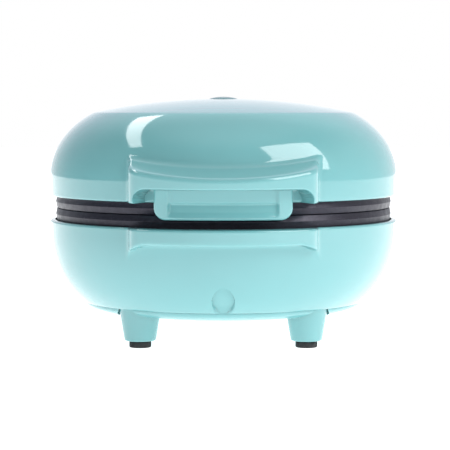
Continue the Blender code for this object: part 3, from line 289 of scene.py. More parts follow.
def cut_away(target, shapes):
    """Cut closed shapes from an object for good."""
    tool = object_from("cutter", shapes, target.data.materials[0])
    boolean = target.modifiers.new("cut", "BOOLEAN")
    boolean.operation = "DIFFERENCE"
    boolean.solver = "EXACT"
    boolean.use_self = True
    boolean.object = tool
    bpy.context.view_layer.update()
    mesh = bpy.data.meshes.new_from_object(target.evaluated_get(bpy.context.evaluated_depsgraph_get()))
    target.modifiers.remove(boolean)
    target.data = mesh
    bpy.data.objects.remove(tool)
    mesh.set_sharp_from_angle(angle=math.radians(35))


# ---- materials -----------------------------------------------------------------------------------
class Finish:
    """A Principled material whose colour, roughness and bump come from procedural textures."""

    def __init__(self, name, colour, roughness, metallic=0.0):
        self.material = bpy.data.materials.new(name)
        self.material.use_nodes = True
        self.nodes = self.material.node_tree.nodes
        self.links = self.material.node_tree.links
        self.shader = self.nodes["Principled BSDF"]
        self.shader.inputs["Base Color"].default_value = (*colour, 1)
        self.shader.inputs["Roughness"].default_value = roughness
        self.shader.inputs["Metallic"].default_value = metallic
        self.place = self.nodes.new("ShaderNodeTexCoord").outputs["Object"]
        self.height = None

    def set(self, **values):
        for name, value in values.items():
            self.shader.inputs[name.replace("_", " ")].default_value = value
        return self

    def stretched(self, stretch):
        mapping = self.nodes.new("ShaderNodeMapping")
        mapping.inputs["Scale"].default_value = stretch
        self.links.new(self.place, mapping.inputs["Vector"])
        return mapping.outputs["Vector"]

    def noise(self, scale, detail=2.0, stretch=None, rough=0.5):
        texture = self.nodes.new("ShaderNodeTexNoise")
        texture.inputs["Scale"].default_value = scale
        texture.inputs["Detail"].default_value = detail
        texture.inputs["Roughness"].default_value = rough
        self.links.new(self.stretched(stretch) if stretch else self.place, texture.inputs["Vector"])
        return texture.outputs["Fac"]

    def cells(self, scale):
        texture = self.nodes.new("ShaderNodeTexVoronoi")
        texture.inputs["Scale"].default_value = scale
        self.links.new(self.place, texture.inputs["Vector"])
        return texture.outputs["Distance"]

    def ramp(self, source, stops):
        """A colour or a grey value by position along the source."""
        ramp = self.nodes.new("ShaderNodeValToRGB")
        elements = ramp.color_ramp.elements
        while len(elements) < len(stops):
            elements.new(0.5)
        for element, (position, colour) in zip(elements, stops):
            element.position = position
            element.color = (*colour, 1) if isinstance(colour, tuple) else (colour, colour, colour, 1)
        self.links.new(source, ramp.inputs["Fac"])
        return ramp.outputs["Color"]

    def colour(self, source, stops):
        self.links.new(self.ramp(source, stops), self.shader.inputs["Base Color"])
        return self

    def roughness(self, source, low, high, start=0.3, end=0.7):
        self.links.new(self.ramp(source, [(start, low), (end, high)]), self.shader.inputs["Roughness"])
        return self

    def bump(self, source, strength, distance):
        node = self.nodes.new("ShaderNodeBump")
        node.inputs["Strength"].default_value = strength
        node.inputs["Distance"].default_value = distance
        self.links.new(source, node.inputs["Height"])
        if self.height is not None:
            self.links.new(self.height, node.inputs["Normal"])
        self.height = node.outputs["Normal"]
        self.links.new(self.height, self.shader.inputs["Normal"])
        return self


def mint_plastic():
    """High-gloss moulded plastic: a faint cloudiness, fine polish marks and a slight orange peel."""
    finish = Finish("mint_plastic", (0.15, 0.45, 0.46), 0.08)
    finish.set(IOR=1.52, Subsurface_Weight=0.06, Subsurface_Scale=0.004)
    finish.set(Coat_Weight=0.7, Coat_Roughness=0.04)
    finish.shader.inputs["Subsurface Radius"].default_value = (0.4, 1.0, 1.0)
    cloud = finish.noise(22, 3)
    finish.colour(cloud, [(0.35, (0.178, 0.440, 0.456)), (0.65, (0.186, 0.456, 0.472))])
    finish.roughness(finish.noise(160, 4, rough=0.65), 0.055, 0.11)
    finish.bump(finish.noise(420, 2), 0.05, 0.00006)
    return finish.material


def nonstick(name="nonstick_coating"):
    """Sprayed black coating on cast aluminium: pale flecks, a pebbled surface and uneven gloss."""
    finish = Finish(name, (0.015, 0.014, 0.018), 0.36)
    flecks = finish.noise(2600, 2, rough=0.7)
    finish.colour(flecks, [(0.30, (0.006, 0.005, 0.009)), (0.55, (0.013, 0.012, 0.020)),
                           (0.66, (0.022, 0.021, 0.032)), (0.76, (0.08, 0.077, 0.10))])
    finish.shader.inputs["Specular Tint"].default_value = (0.86, 0.84, 1.0, 1.0)
    finish.roughness(finish.noise(350, 3), 0.28, 0.46)
    finish.bump(finish.noise(900, 3, rough=0.6), 0.35, 0.00012)
    finish.bump(finish.noise(60, 2), 0.15, 0.0003)
    return finish.material


def rubber():
    finish = Finish("black_rubber", (0.018, 0.018, 0.02), 0.7)
    finish.colour(finish.noise(500, 3), [(0.3, (0.012, 0.012, 0.014)), (0.7, (0.03, 0.03, 0.032))])
    finish.roughness(finish.noise(900, 2), 0.6, 0.85)
    finish.bump(finish.noise(2500, 2), 0.3, 0.00006)
    return finish.material


def steel():
    """Zinc-plated steel with turning marks round the screws' heads."""
    finish = Finish("plated_steel", (0.6, 0.6, 0.62), 0.28, 1.0)
    finish.colour(finish.noise(300, 3), [(0.3, (0.52, 0.52, 0.53)), (0.7, (0.68, 0.68, 0.69))])
    finish.roughness(finish.noise(800, 3), 0.2, 0.38)
    finish.bump(finish.noise(900, 2, stretch=(1, 1, 6)), 0.12, 0.00004)
    return finish.material


def aluminium():
    """Pressed sheet with fine rolling lines."""
    finish = Finish("pressed_aluminium", (0.72, 0.73, 0.75), 0.3, 1.0)
    finish.colour(finish.noise(40, 3), [(0.3, (0.66, 0.67, 0.68)), (0.7, (0.78, 0.79, 0.80))])
    finish.roughness(finish.noise(400, 3, stretch=(8, 1, 1)), 0.22, 0.42)
    finish.bump(finish.noise(600, 2, stretch=(10, 1, 1)), 0.15, 0.00004)
    return finish.material


def heater_sheath():
    """Oxidised steel tube, blued and browned by heat."""
    finish = Finish("heater_sheath", (0.2, 0.18, 0.16), 0.5, 0.85)
    finish.colour(finish.noise(70, 3), [(0.3, (0.10, 0.085, 0.08)), (0.55, (0.22, 0.19, 0.16)),
                                        (0.7, (0.16, 0.17, 0.21))])
    finish.roughness(finish.noise(500, 3), 0.4, 0.65)
    finish.bump(finish.noise(1200, 2), 0.2, 0.00005)
    return finish.material


def nylon():
    finish = Finish("white_nylon", (0.76, 0.75, 0.70), 0.45)
    finish.colour(finish.noise(90, 3), [(0.3, (0.72, 0.71, 0.66)), (0.7, (0.80, 0.79, 0.75))])
    finish.roughness(finish.noise(600, 2), 0.38, 0.55)
    finish.bump(finish.noise(1500, 2), 0.15, 0.00005)
    return finish.material


def woven_sleeve():
    """Braided glass-fibre sleeving."""
    finish = Finish("lead_sleeve", (0.8, 0.8, 0.77), 0.7)
    weave = finish.cells(1800)
    finish.colour(weave, [(0.1, (0.84, 0.84, 0.81)), (0.6, (0.62, 0.62, 0.58))])
    finish.roughness(finish.noise(900, 2), 0.6, 0.85)
    finish.bump(weave, 0.5, 0.0001)
    return finish.material


def lamp_lens():
    """Smoky tinted plastic, part clear, with a moulded grain under its surface."""
    finish = Finish("lamp_lens", (0.2, 0.38, 0.40), 0.12)
    finish.set(Transmission_Weight=0.35, IOR=1.5)
    finish.colour(finish.noise(300, 2), [(0.3, (0.17, 0.33, 0.35)), (0.7, (0.24, 0.44, 0.46))])
    finish.roughness(finish.noise(700, 2), 0.08, 0.2)
    finish.bump(finish.cells(900), 0.12, 0.00008)
    return finish.material


def lamp_glass():
    finish = Finish("lamp_glass", (0.9, 0.6, 0.4), 0.06)
    finish.set(Transmission_Weight=0.7, IOR=1.45)
    finish.colour(finish.noise(200, 2), [(0.3, (0.86, 0.55, 0.36)), (0.7, (0.95, 0.68, 0.48))])
    finish.roughness(finish.noise(900, 2), 0.03, 0.12)
    finish.bump(finish.noise(700, 2), 0.05, 0.00005)
    return finish.material


MINT = mint_plastic()
BLACK = nonstick()
RUBBER = rubber()
STEEL = steel()
ALUMINIUM = aluminium()
SHEATH = heater_sheath()
NYLON = nylon()
SLEEVE = woven_sleeve()
LENS = lamp_lens()
GLASS = lamp_glass()


# ---- the shells' surfaces ------------------------------------------------------------------------
def side_radius(height, shoulder_z, through):
    """Radius of a shell's side at each height: straight at the rim, then a quarter ellipse."""
    across = math.acos((through[0] - SHOULDER_CENTRE) / SHOULDER_DEPTH)
    tall = abs(through[1] - shoulder_z) / math.sin(across)
    past = np.maximum((height - shoulder_z) * math.copysign(1, through[1] - shoulder_z), 0)
    return SHOULDER_CENTRE + SHOULDER_DEPTH * np.sqrt(np.maximum(1 - (past / tall) ** 2, 0))


def bowed_plan(x, y, reach):
    """Distance outside a handle's plan: its two straight ends and its bowed front."""
    bow_radius = (HANDLE_HALF_WIDTH ** 2 + HANDLE_BOW ** 2) / (2 * HANDLE_BOW)
    front = np.hypot(x, y + reach - bow_radius) - bow_radius
    return smooth_max(np.abs(x) - HANDLE_HALF_WIDTH, front, HANDLE_CORNER)


def arch_field(x, z, half_width, top, corner):
    """Distance outside an arch that is open below; corner is its (wide, tall) radius."""
    stretch = corner[0] / corner[1]
    side = np.abs(x) - (half_width - corner[0])
    above = (z - top) * stretch + corner[0]
    outer = np.hypot(np.maximum(side, 0), np.maximum(above, 0))
    return outer + np.minimum(np.maximum(side, above), 0) - corner[0]


def in_front(y, field):
    """The field where y is in front of the middle, and far outside elsewhere."""
    return np.where(y < 0, field, 1.0)


def lid_field(radius, turn, z):
    """Negative inside the lid's outer surface with its handle."""
    x, y = radius * np.cos(turn), radius * np.sin(turn)
    shell = radius - side_radius(z, LID_SHOULDER_Z, (CREASE_RADIUS, CREASE_Z))
    top = (z - SHELF_FRONT_Z - SHELF_SLOPE * (y + REACH)) / math.hypot(1, SHELF_SLOPE)
    shelf = smooth_max(bowed_plan(x, y, REACH), top, EDGE_ROUND)
    corner = (ARCH_CORNER, ARCH_CORNER)
    arch = arch_field(x, z, HANDLE_HALF_WIDTH - SHELF_LEG, SHELF_UNDERSIDE_Z, corner)
    shelf = smooth_max(shelf, -arch, EDGE_ROUND / 2)
    return smooth_min(shell, in_front(y, shelf), FILLET)


def base_field(radius, turn, z):
    """Negative inside the base's outer surface with its handle ledge and screw pockets."""
    x, y = radius * np.cos(turn), radius * np.sin(turn)
    shell = radius - side_radius(z, BASE_SHOULDER_Z, (PARTING_RADIUS, PARTING_Z))
    arch = arch_field(x, z, LOWER_ARCH_HALF_WIDTH, LOWER_UNDERSIDE_Z, LOWER_FLARE)
    ledge = smooth_max(bowed_plan(x, y, LOWER_REACH), -arch, EDGE_ROUND)
    whole = smooth_min(shell, in_front(y, ledge), FILLET)
    for angle in BETWEEN_ANGLES:
        pocket_x, pocket_y = polar(POCKET_PITCH, angle)
        pocket = np.maximum(np.hypot(x - pocket_x, y - pocket_y) - POCKET_RADIUS, z - POCKET_ROOF_Z)
        whole = smooth_max(whole, -pocket, 0.0004)
    return whole


def outer_radius(field, turns, heights, far, near, steps=90):
    """Outermost radius at which the field turns negative, for each height (rows) and turn (columns)."""
    turn, height = np.meshgrid(turns, heights)
    outside = np.full(turn.shape, far)
    inside = np.full(turn.shape, near)
    found = np.zeros(turn.shape, bool)
    tried = np.linspace(far, near, steps + 1)
    for previous, radius in zip(tried, tried[1:]):
        hit = (field(radius, turn, height) < 0) & ~found
        inside[hit] = radius
        outside[hit] = previous
        found |= hit
    for _ in range(16):
        middle = (inside + outside) / 2
        within = field(middle, turn, height) < 0
        inside = np.where(within, middle, inside)
        outside = np.where(within, outside, middle)
    return (inside + outside) / 2


def ring_rows(radii, heights, turns):
    """Grid rows from radii (a table, or one radius for each row) and heights."""
    radii = np.broadcast_to(np.asarray(radii, float).reshape(len(heights), -1), (len(heights), len(turns)))
    rows = np.empty((*radii.shape, 3))
    rows[..., 0] = radii * np.cos(turns)
    rows[..., 1] = radii * np.sin(turns)
    rows[..., 2] = np.asarray(heights)[:, None]
    return rows


def profile_rows(profile, turns):
    return ring_rows([r for r, _ in profile], [z for _, z in profile], turns)


def rim_inset(distance):
    """How far a rounded rim edge stands in, at a distance from the rim's flat."""
    left = np.clip(RIM_ROUND - distance, 0, RIM_ROUND)
    return RIM_ROUND - np.sqrt(RIM_ROUND ** 2 - left ** 2)


def crown_profile(inset, start, steps):
    """The crown from the lens to the crease, pushed inwards by inset."""
    sphere = (CREASE_RADIUS ** 2 + CREASE_DROP ** 2) / (2 * CREASE_DROP)
    points = []
    for share in np.linspace(0, 1, steps + 1):
        radius = start + (CREASE_RADIUS - start) * share
        height = CROWN_Z - sphere + math.sqrt(sphere ** 2 - radius ** 2)
        points.append((radius - inset * share, height - inset))
    return points


def shoulder_profile(shoulder_z, through, inset, start, end, steps):
    """A shell's elliptical side between two heights."""
    heights = shoulder_z + (np.linspace(start, end, steps + 1) - shoulder_z)
    return [(float(side_radius(z, shoulder_z, through)) - inset, z) for z in heights]


def lid_casing():
    """The lid: crown, crease, side, handle and rim outside, and the moulded wall's inner face."""
    turns = np.radians(joined_steps((-126, -54, 0.24), (-54, 234, 1.6)))
    lens_radius, stem_radius, seat_depth = 0.0063, 0.0043, 0.0012
    crown = crown_profile(0, lens_radius, 26)
    across = math.acos((CREASE_RADIUS - SHOULDER_CENTRE) / SHOULDER_DEPTH)
    tall = (CREASE_Z - LID_SHOULDER_Z) / math.sin(across)
    handle_top = SHELF_FRONT_Z + SHELF_SLOPE * (REACH - BODY_RADIUS) + 2 * FILLET
    low_turn = math.degrees(math.asin((handle_top - LID_SHOULDER_Z) / tall))
    centre = (SHOULDER_CENTRE, LID_SHOULDER_Z)
    shoulder = arc(centre, (SHOULDER_DEPTH, tall), math.degrees(across), low_turn, 44)
    edge = SHELF_UNDERSIDE_Z
    near = 0.0012
    heights = joined_steps((LID_RIM_Z, LID_RIM_Z + RIM_ROUND, RIM_ROUND / 7),
                           (LID_RIM_Z + RIM_ROUND, edge - near, 0.00022),
                           (edge - near, edge + near, 0.00007), (edge + near, handle_top, 0.00016))[::-1]
    radii = outer_radius(lid_field, turns, heights, REACH + 0.002, BODY_RADIUS - 0.006)
    radii -= rim_inset(heights - LID_RIM_Z)[:, None]
    inner = [(BODY_RADIUS - WALL, LID_RIM_Z), (BODY_RADIUS - WALL, LID_SHOULDER_Z)]
    inner_axes = (SHOULDER_DEPTH - WALL, tall - WALL)
    inner += arc(centre, inner_axes, 4, math.degrees(across), 14)
    inner += crown_profile(WALL, stem_radius, 6)[-2::-1]
    inner += [(stem_radius, CROWN_Z - seat_depth), (lens_radius, CROWN_Z - seat_depth)]
    rows = np.concatenate([profile_rows(crown + shoulder[1:-1], turns), ring_rows(radii, heights, turns),
                           profile_rows(inner, turns)])
    return shape_of(grid(rows))


def base_casing():
    """The base: rim, handle ledge, side and screw pockets outside, and the wall's inner face."""
    dense = [(-126, -54, 0.24), (-54, 22, 1.6), (22, 38, 0.3), (38, 142, 1.6), (142, 158, 0.3),
             (158, 234, 1.6)]
    turns = np.radians(joined_steps(*dense))
    edge = LOWER_UNDERSIDE_Z
    near, foot = 0.0014, 0.0006
    heights = joined_steps((PARTING_Z, PARTING_Z + foot, 0.0001),
                           (PARTING_Z + foot, edge - near, 0.0002), (edge - near, edge + near, 0.00008),
                           (edge + near, BASE_RIM_Z - RIM_ROUND, 0.0002),
                           (BASE_RIM_Z - RIM_ROUND, BASE_RIM_Z + 1e-5, RIM_ROUND / 7))
    heights[-1] = BASE_RIM_Z
    radii = outer_radius(base_field, turns, heights, LOWER_REACH + 0.002, PARTING_RADIUS - 0.002)
    radii -= rim_inset(BASE_RIM_Z - heights)[:, None]
    radii -= 0.3 * rim_inset(heights - PARTING_Z)[:, None]
    parting = (PARTING_RADIUS, PARTING_Z)
    inner = [(BODY_RADIUS - WALL, BASE_RIM_Z)]
    inner += shoulder_profile(BASE_SHOULDER_Z, parting, WALL, BASE_SHOULDER_Z, PARTING_Z + 0.0024, 14)
    inner += [(inner[-1][0] - 0.0012, PARTING_Z)]
    rows = np.concatenate([ring_rows(radii, heights, turns), profile_rows(inner, turns)])
    return shape_of(grid(rows))


def hinge_lug(low, high, anchor):
    """A hinge ear along X: the barrel's circle and a rectangle inside a shell in one rounded outline."""
    points = arc((HINGE.y, HINGE.z), (BARREL_RADIUS, BARREL_RADIUS), 0, 360, 64)[:-1] + anchor
    hull = geometry.convex_hull_2d([Vector(point) for point in points])
    return prism_shape([points[i] for i in hull], low, high, bevel=0.0006)


def rectangle(x_low, x_high, y_low, y_high):
    return [(x_low, y_low), (x_high, y_low), (x_high, y_high), (x_low, y_high)]


def feet_places():
    places = {}
    for depth in ("front", "rear"):
        for side in ("left", "right"):
            name = f"rubber_foot_{depth}_{side}"
            low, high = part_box(name)
            places[name] = plan_middle(low, high)
    return places


def foot_post(centre):
    """A tapered foot that runs up into the base, with a socket for its pad's stud."""
    stud, socket, edge = 0.0023, 0.0042, 0.0006
    buried = PARTING_Z + 0.0055
    profile = [(stud, FOOT_BOTTOM_Z), (FOOT_END_RADIUS - edge, FOOT_BOTTOM_Z)]
    profile += arc((FOOT_END_RADIUS - edge, FOOT_BOTTOM_Z + edge), (edge, edge), -80, 0, 5)
    profile += [(FOOT_TOP_RADIUS, PARTING_Z), (FOOT_TOP_RADIUS, buried), (0, buried),
                (0, FOOT_BOTTOM_Z + socket), (stud, FOOT_BOTTOM_Z + socket)]
    return shape_of(lathe(profile, 72, centre))


def make_casings():
    anchor = rectangle(PLATE_RADIUS - WALL + 0.0015, BODY_RADIUS - 0.0004,
                       LID_RIM_Z + 0.0009, LID_RIM_Z + LUG_ROOT)
    barrel = hinge_lug(-BARREL_HALF_WIDTH, BARREL_HALF_WIDTH, anchor)
    lid = object_from("lid_casing", [lid_casing(), barrel], MINT)
    place(lid, "lid", "mint_plastic", "upper_shell")
    anchor = rectangle(PLATE_RADIUS - WALL + 0.0006, BODY_RADIUS - 0.0022,
                       BASE_RIM_Z - LUG_ROOT, BASE_RIM_Z - GAP)
    near = BARREL_HALF_WIDTH + GAP
    far = near + EAR_WIDTH
    parts = [base_casing(), hinge_lug(near, far, anchor), hinge_lug(-far, -near, anchor)]
    parts += [foot_post(centre) for centre in feet_places().values()]
    base = object_from("base_casing", parts, MINT)
    place(base, "base", "mint_plastic", "lower_shell")


# ---- finger tab ----------------------------------------------------------------------------------
def make_finger_tab():
    """A curved plate with round lower corners, a stepped panel, a scoop under a ridge and a lower lip."""
    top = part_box("handle_guard")[1].z
    shelf_seat = SHELF_UNDERSIDE_Z - GAP
    heights = np.concatenate([TAB_LOW_Z + TAB_CORNER * (1 - np.cos(np.linspace(0.06, math.pi / 2, 30))),
                              joined_steps((TAB_LOW_Z + TAB_CORNER, shelf_seat + 1e-5, 0.00012))])
    across = np.sin(np.linspace(-math.pi / 2, math.pi / 2, 241))
    across = 0.45 * across + 0.55 * np.linspace(-1, 1, 241)
    rise = np.clip(TAB_CORNER - (heights - TAB_LOW_Z), 0, TAB_CORNER)
    half = TAB_HALF_WIDTH - TAB_CORNER + np.sqrt(TAB_CORNER ** 2 - rise ** 2)
    x = across[None, :] * half[:, None]
    z = np.repeat(heights[:, None], len(across), axis=1)

    corner_x = np.maximum(np.abs(x) - (TAB_HALF_WIDTH - TAB_CORNER), 0)
    corner_z = np.maximum(TAB_LOW_Z + TAB_CORNER - z, 0)
    to_corner = TAB_CORNER - np.hypot(corner_x, corner_z)
    to_edge = np.minimum(np.minimum(TAB_HALF_WIDTH - np.abs(x), z - TAB_LOW_Z), to_corner)
    left = np.clip(TAB_EDGE_ROUND - to_edge, 0, TAB_EDGE_ROUND)
    rounding = TAB_EDGE_ROUND - np.sqrt(TAB_EDGE_ROUND ** 2 - left ** 2)

    lip_z = TAB_LOW_Z + TAB_LIP
    soft = TAB_SOFTNESS
    within = smooth_step(TAB_PANEL_HALF_WIDTH - np.abs(x), -soft, soft)
    within = within * smooth_step(z - lip_z, -soft, 2 * soft)
    below = smooth_step(TAB_RIDGE_Z - z, -soft / 2, soft)
    slope = np.clip((z - lip_z) / (TAB_RIDGE_Z - lip_z), 0, 1)
    scoop = TAB_PANEL_DEPTH + (TAB_SCOOP_DEPTH - TAB_PANEL_DEPTH) * slope ** 1.5
    depth = within * (TAB_PANEL_DEPTH * (1 - below) + scoop * below)
    front = -np.sqrt(TAB_OUTER_RADIUS ** 2 - x ** 2) + rounding + depth
    back = -np.sqrt(TAB_INNER_RADIUS ** 2 - x ** 2)
    outside, inside = np.stack([x, front, z], axis=2), np.stack([x, back, z], axis=2)
    rows = np.concatenate([outside, inside[:, ::-1]], axis=1)
    corners, faces = grid(rows, close_rows=False)
    count = rows.shape[1]
    half_count = count // 2
    caps = []
    for start in (0, len(rows) - 1):
        base = start * count
        for i in range(half_count - 1):
            caps.append((base + i, base + i + 1, base + count - 2 - i, base + count - 1 - i))
    plate = shape_of((corners, np.concatenate([faces, np.array(caps)])))
    tongue_plan = rectangle(-TAB_OUTER_RADIUS + 0.0016, -TAB_OUTER_RADIUS + 0.0030, shelf_seat - 0.001, top)
    tongue = prism_shape(tongue_plan, -TAB_TONGUE_HALF_WIDTH, TAB_TONGUE_HALF_WIDTH)
    tab = object_from("finger_tab", [plate, tongue], MINT)
    place(tab, "lid", "mint_plastic", "handle_guard")


# ---- plates --------------------------------------------------------------------------------------
def groove_profile(tube_radius, level, lip, flat_radius, outer_radius_, steps):
    """A ring groove from its middle post outwards, with rounded lips; level turns a depth into a height."""
    points = [(0, level(0)), (flat_radius * 0.5, level(0))]
    ring = CAVITY_RING_RADIUS
    inner = arc((ring - tube_radius - lip, lip), (lip, -lip), 90, 0, 4)
    points += [(r, level(d)) for r, d in inner]
    points += [(ring - tube_radius * math.cos(t), level(lip + (tube_radius - lip) * math.sin(t)))
               for t in np.linspace(0, math.pi, steps + 1)[1:-1]]
    outer = arc((ring + tube_radius + lip, lip), (-lip, -lip), 0, 90, 4)
    points += [(r, level(d)) for r, d in outer]
    points.append((outer_radius_, level(0)))
    return points


def holed_face(height, radius, count, hole_radius, hole_count):
    """A flat round face with a round hole for each cavity."""
    shape = bmesh.new()
    loops = [((0, 0), radius, count)]
    loops += [(polar(CAVITY_PITCH, angle), hole_radius, hole_count) for angle in CAVITY_ANGLES]
    edges = []
    for centre, size, around in loops:
        turns = np.linspace(0, 2 * math.pi, around, endpoint=False)
        places = [(centre[0] + size * math.cos(t), centre[1] + size * math.sin(t)) for t in turns]
        ring = [shape.verts.new((*spot, height)) for spot in places]
        edges += [shape.edges.new((ring[i], ring[(i + 1) % around])) for i in range(around)]
    bmesh.ops.triangle_fill(shape, use_beauty=True, use_dissolve=False, edges=edges)
    mesh = bpy.data.meshes.new("face")
    shape.to_mesh(mesh)
    shape.free()
    corners = np.array([v.co for v in mesh.vertices])
    faces = [tuple(p.vertices) for p in mesh.polygons]
    bpy.data.meshes.remove(mesh)
    return corners, faces


def merged(parts):
    """Corners and faces of several parts as one list."""
    corners, faces, start = [], [], 0
    for part_corners, part_faces in parts:
        corners.append(np.asarray(part_corners, float))
        faces += [tuple(int(i) + start for i in face) for face in part_faces]
        start += len(part_corners)
    return np.concatenate(corners), faces


def make_plate(name, node, body, into):
    """A baking plate: three ring cavities in a flat face, a ridged edge, a skirt and a cast back."""
    face = SPLIT_Z + into * GAP / 2

    def level(depth):
        return face + into * depth

    def back_level(depth):
        return level(depth + PLATE_WEB * (1 - depth / back_tube))

    count, around, back_around = 240, 96, 48
    land = CAVITY_RING_RADIUS + CAVITY_TUBE_RADIUS + 2.2 * CAVITY_LIP
    back_tube = CAVITY_TUBE_RADIUS + CAVITY_WALL
    back_land = CAVITY_RING_RADIUS + back_tube + 2 * CAVITY_LIP
    skirt = PLATE_RADIUS - PLATE_SKIRT
    edge = PLATE_RADIUS - PLATE_TAPER
    ridge = PLATE_RIDGE_DEPTH
    side = [(edge - 0.0001, level(0)), (edge, level(0.0001))]
    side += [(PLATE_RADIUS - 0.00006, level(ridge - 0.0002)), (PLATE_RADIUS, level(ridge - 0.00008)),
             (PLATE_RADIUS, level(ridge + 0.00008)), (PLATE_RADIUS - 0.00006, level(ridge + 0.0002))]
    side += [(edge, level(2 * ridge)), (edge, level(PLATE_DEPTH - 0.0004)),
             (edge - 0.0004, level(PLATE_DEPTH)), (skirt, level(PLATE_DEPTH)), (skirt, level(PLATE_WEB))]
    parts = [lathe(side, count, close=False)]
    parts.append(holed_face(level(0), edge - 0.0001, count, land, around))
    parts.append(holed_face(level(PLATE_WEB), skirt, count, back_land, back_around))
    front = groove_profile(CAVITY_TUBE_RADIUS, level, CAVITY_LIP, 0.005, land, 26)
    back = groove_profile(back_tube, back_level, CAVITY_LIP, 0.003, back_land, 14)
    for angle in CAVITY_ANGLES:
        centre = polar(CAVITY_PITCH, angle)
        parts.append(lathe(front, around, centre, close=False))
        parts.append(lathe(back, back_around, centre, close=False))
    plate = object_from(name, [shape_of(merged(parts))], BLACK, sharp=50)
    place(plate, body, "nonstick_plate", node)


# ---- fasteners and small pieces ------------------------------------------------------------------
def cross_head(head, seat, length, centre, dome):
    """A screw with a domed head below seat and a shank above it."""
    radius, height = head
    profile = [(0, -height)]
    profile += [(radius * math.sin(t), -height * (1 - dome) - height * dome * math.cos(t)) for t in
                np.linspace(0.15, math.pi / 2, 8)]
    shank = SHANK_RADIUS
    profile += [(radius, 0), (shank, 0), (shank, length - 0.0012), (0.4 * shank, length), (0, length)]
    return shape_of(lathe([(r, seat + z) for r, z in profile], 48, centre))


def make_screw(name, node, body, head, seat, length, centre, dome=0.45):
    """A screw pointing up, with a cross recess in its head."""
    radius, height = head
    screw = object_from(name, [cross_head(head, seat, length, centre, dome)], STEEL)
    long_arm, short_arm, depth = 0.62 * radius, 0.14 * radius, 0.62 * height
    low, high = seat - height - 0.001, seat - height + depth
    arms = []
    for wide, deep in ((long_arm, short_arm), (short_arm, long_arm)):
        across = rectangle(centre[1] - deep, centre[1] + deep, low, high)
        arms.append(prism_shape(across, centre[0] - wide, centre[0] + wide))
    cut_away(screw, arms)
    place(screw, body, "plated_steel", node)


def plan_middle(low, high):
    """Where a box's middle is in plan."""
    return (low.x + high.x) / 2, (low.y + high.y) / 2


def make_screws():
    plate_seat = SPLIT_Z + GAP / 2 + PLATE_SCREW_HEAD[1]
    for number, angle in enumerate(BETWEEN_ANGLES, 1):
        centre = polar(POCKET_PITCH, angle)
        make_screw(f"pocket_screw_{number}", f"case_screw_{number}", "base", POCKET_SCREW_HEAD,
                   POCKET_ROOF_Z - GAP, 0.0105, centre)
        make_screw(f"plate_screw_{number}", f"upper_plate_screw_{number}", "lid", PLATE_SCREW_HEAD,
                   plate_seat, 0.008, centre, dome=0.2)
    for number, _ in enumerate(CAVITY_ANGLES, 1):
        node = f"cover_screw_{number}"
        low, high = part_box(node)
        make_screw(f"bottom_screw_{number}", node, "base", SCREW_HEAD, low.z + SCREW_HEAD[1], 0.008,
                   plan_middle(low, high))


def make_rubber_feet():
    """Pads with a rounded tread edge and a ring groove underneath."""
    for name, centre in feet_places().items():
        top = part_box(name)[1].z
        radius, tall, stud = 0.0040, 0.0022, 0.0020
        profile = [(0, 0.0004), (0.0016, 0.0004), (0.0018, 0.0), (0.0034, 0.0)]
        profile += arc((radius - 0.0005, 0.0005), (0.0005, 0.0005), -80, 0, 5)
        profile += arc((radius - 0.0003, tall - 0.0003), (0.0003, 0.0003), 0, 90, 3)
        profile += [(stud, tall), (stud, top - 0.0003), (stud - 0.0004, top), (0, top)]
        shape = shape_of(lathe(profile, 64, centre))
        pad = object_from(name.replace("rubber_foot", "pad"), [shape], RUBBER)
        place(pad, "base", "black_rubber", name)


def plug(radius, centre, count):
    """A round cutter through the bottom cover."""
    return shape_of(lathe([(0, 0), (radius, 0), (radius, CUT_TOP), (0, CUT_TOP)], count, centre))


def make_cover():
    """The dished bottom cover with foot notches, screw recesses and vents."""
    low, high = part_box("bottom_cover")
    edge, floor, wall = high.x, low.z, 0.0018
    corner_width = 0.0118
    top = PARTING_Z + 0.0002
    lip = PARTING_RADIUS - WALL - 0.0018
    corner = arc((edge - corner_width, top - 0.0003), (corner_width, top - 0.0003 - floor), -90, 0, 26)
    profile = [(0, floor), *corner, (edge - 0.0003, top), (lip, top), (lip, high.z), (lip - wall, high.z),
               (lip - wall, floor + 1.6 * wall), (edge - corner_width, floor + wall), (0, floor + wall)]
    cover = object_from("base_cover", [shape_of(lathe(profile, 200))], MINT)
    cutters = [plug(FOOT_TOP_RADIUS + 0.0005, centre, 64) for centre in feet_places().values()]
    for number, _ in enumerate(CAVITY_ANGLES, 1):
        box_low, box_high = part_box(f"cover_screw_{number}")
        seat = box_low.z + 0.0020
        head, shank = SCREW_HEAD[0] + GAP, SHANK_RADIUS + GAP
        hole = [(0, 0), (head, 0), (head, seat), (shank, seat), (shank, CUT_TOP), (0, CUT_TOP)]
        cutters.append(shape_of(lathe(hole, 40, plan_middle(box_low, box_high))))
    upright = Matrix(((0, 1, 0, 0), (0, 0, 1, 0), (1, 0, 0, 0), (0, 0, 0, 1)))
    for i in range(5):
        y = (i - 2) * 0.005 - 0.016
        end = (0.001, 0.001)
        slot = arc((0.011, y), end, -90, 90, 6) + arc((-0.011, y), end, 90, 270, 6)
        shape = prism_shape(slot, 0, CUT_TOP)
        bmesh.ops.transform(shape, matrix=upright, verts=shape.verts)
        cutters.append(shape)
    cutters += [plug(POCKET_RADIUS, polar(POCKET_PITCH, angle), 48) for angle in BETWEEN_ANGLES]
    cut_away(cover, cutters)
    place(cover, "base", "mint_plastic", "bottom_cover")


def turned_along_x(name, profile, count, material):
    quarter = Matrix.Translation(HINGE) @ Matrix.Rotation(math.pi / 2, 4, "Y")
    return object_from(name, [shape_of(moved(lathe(profile, count), quarter))], material)


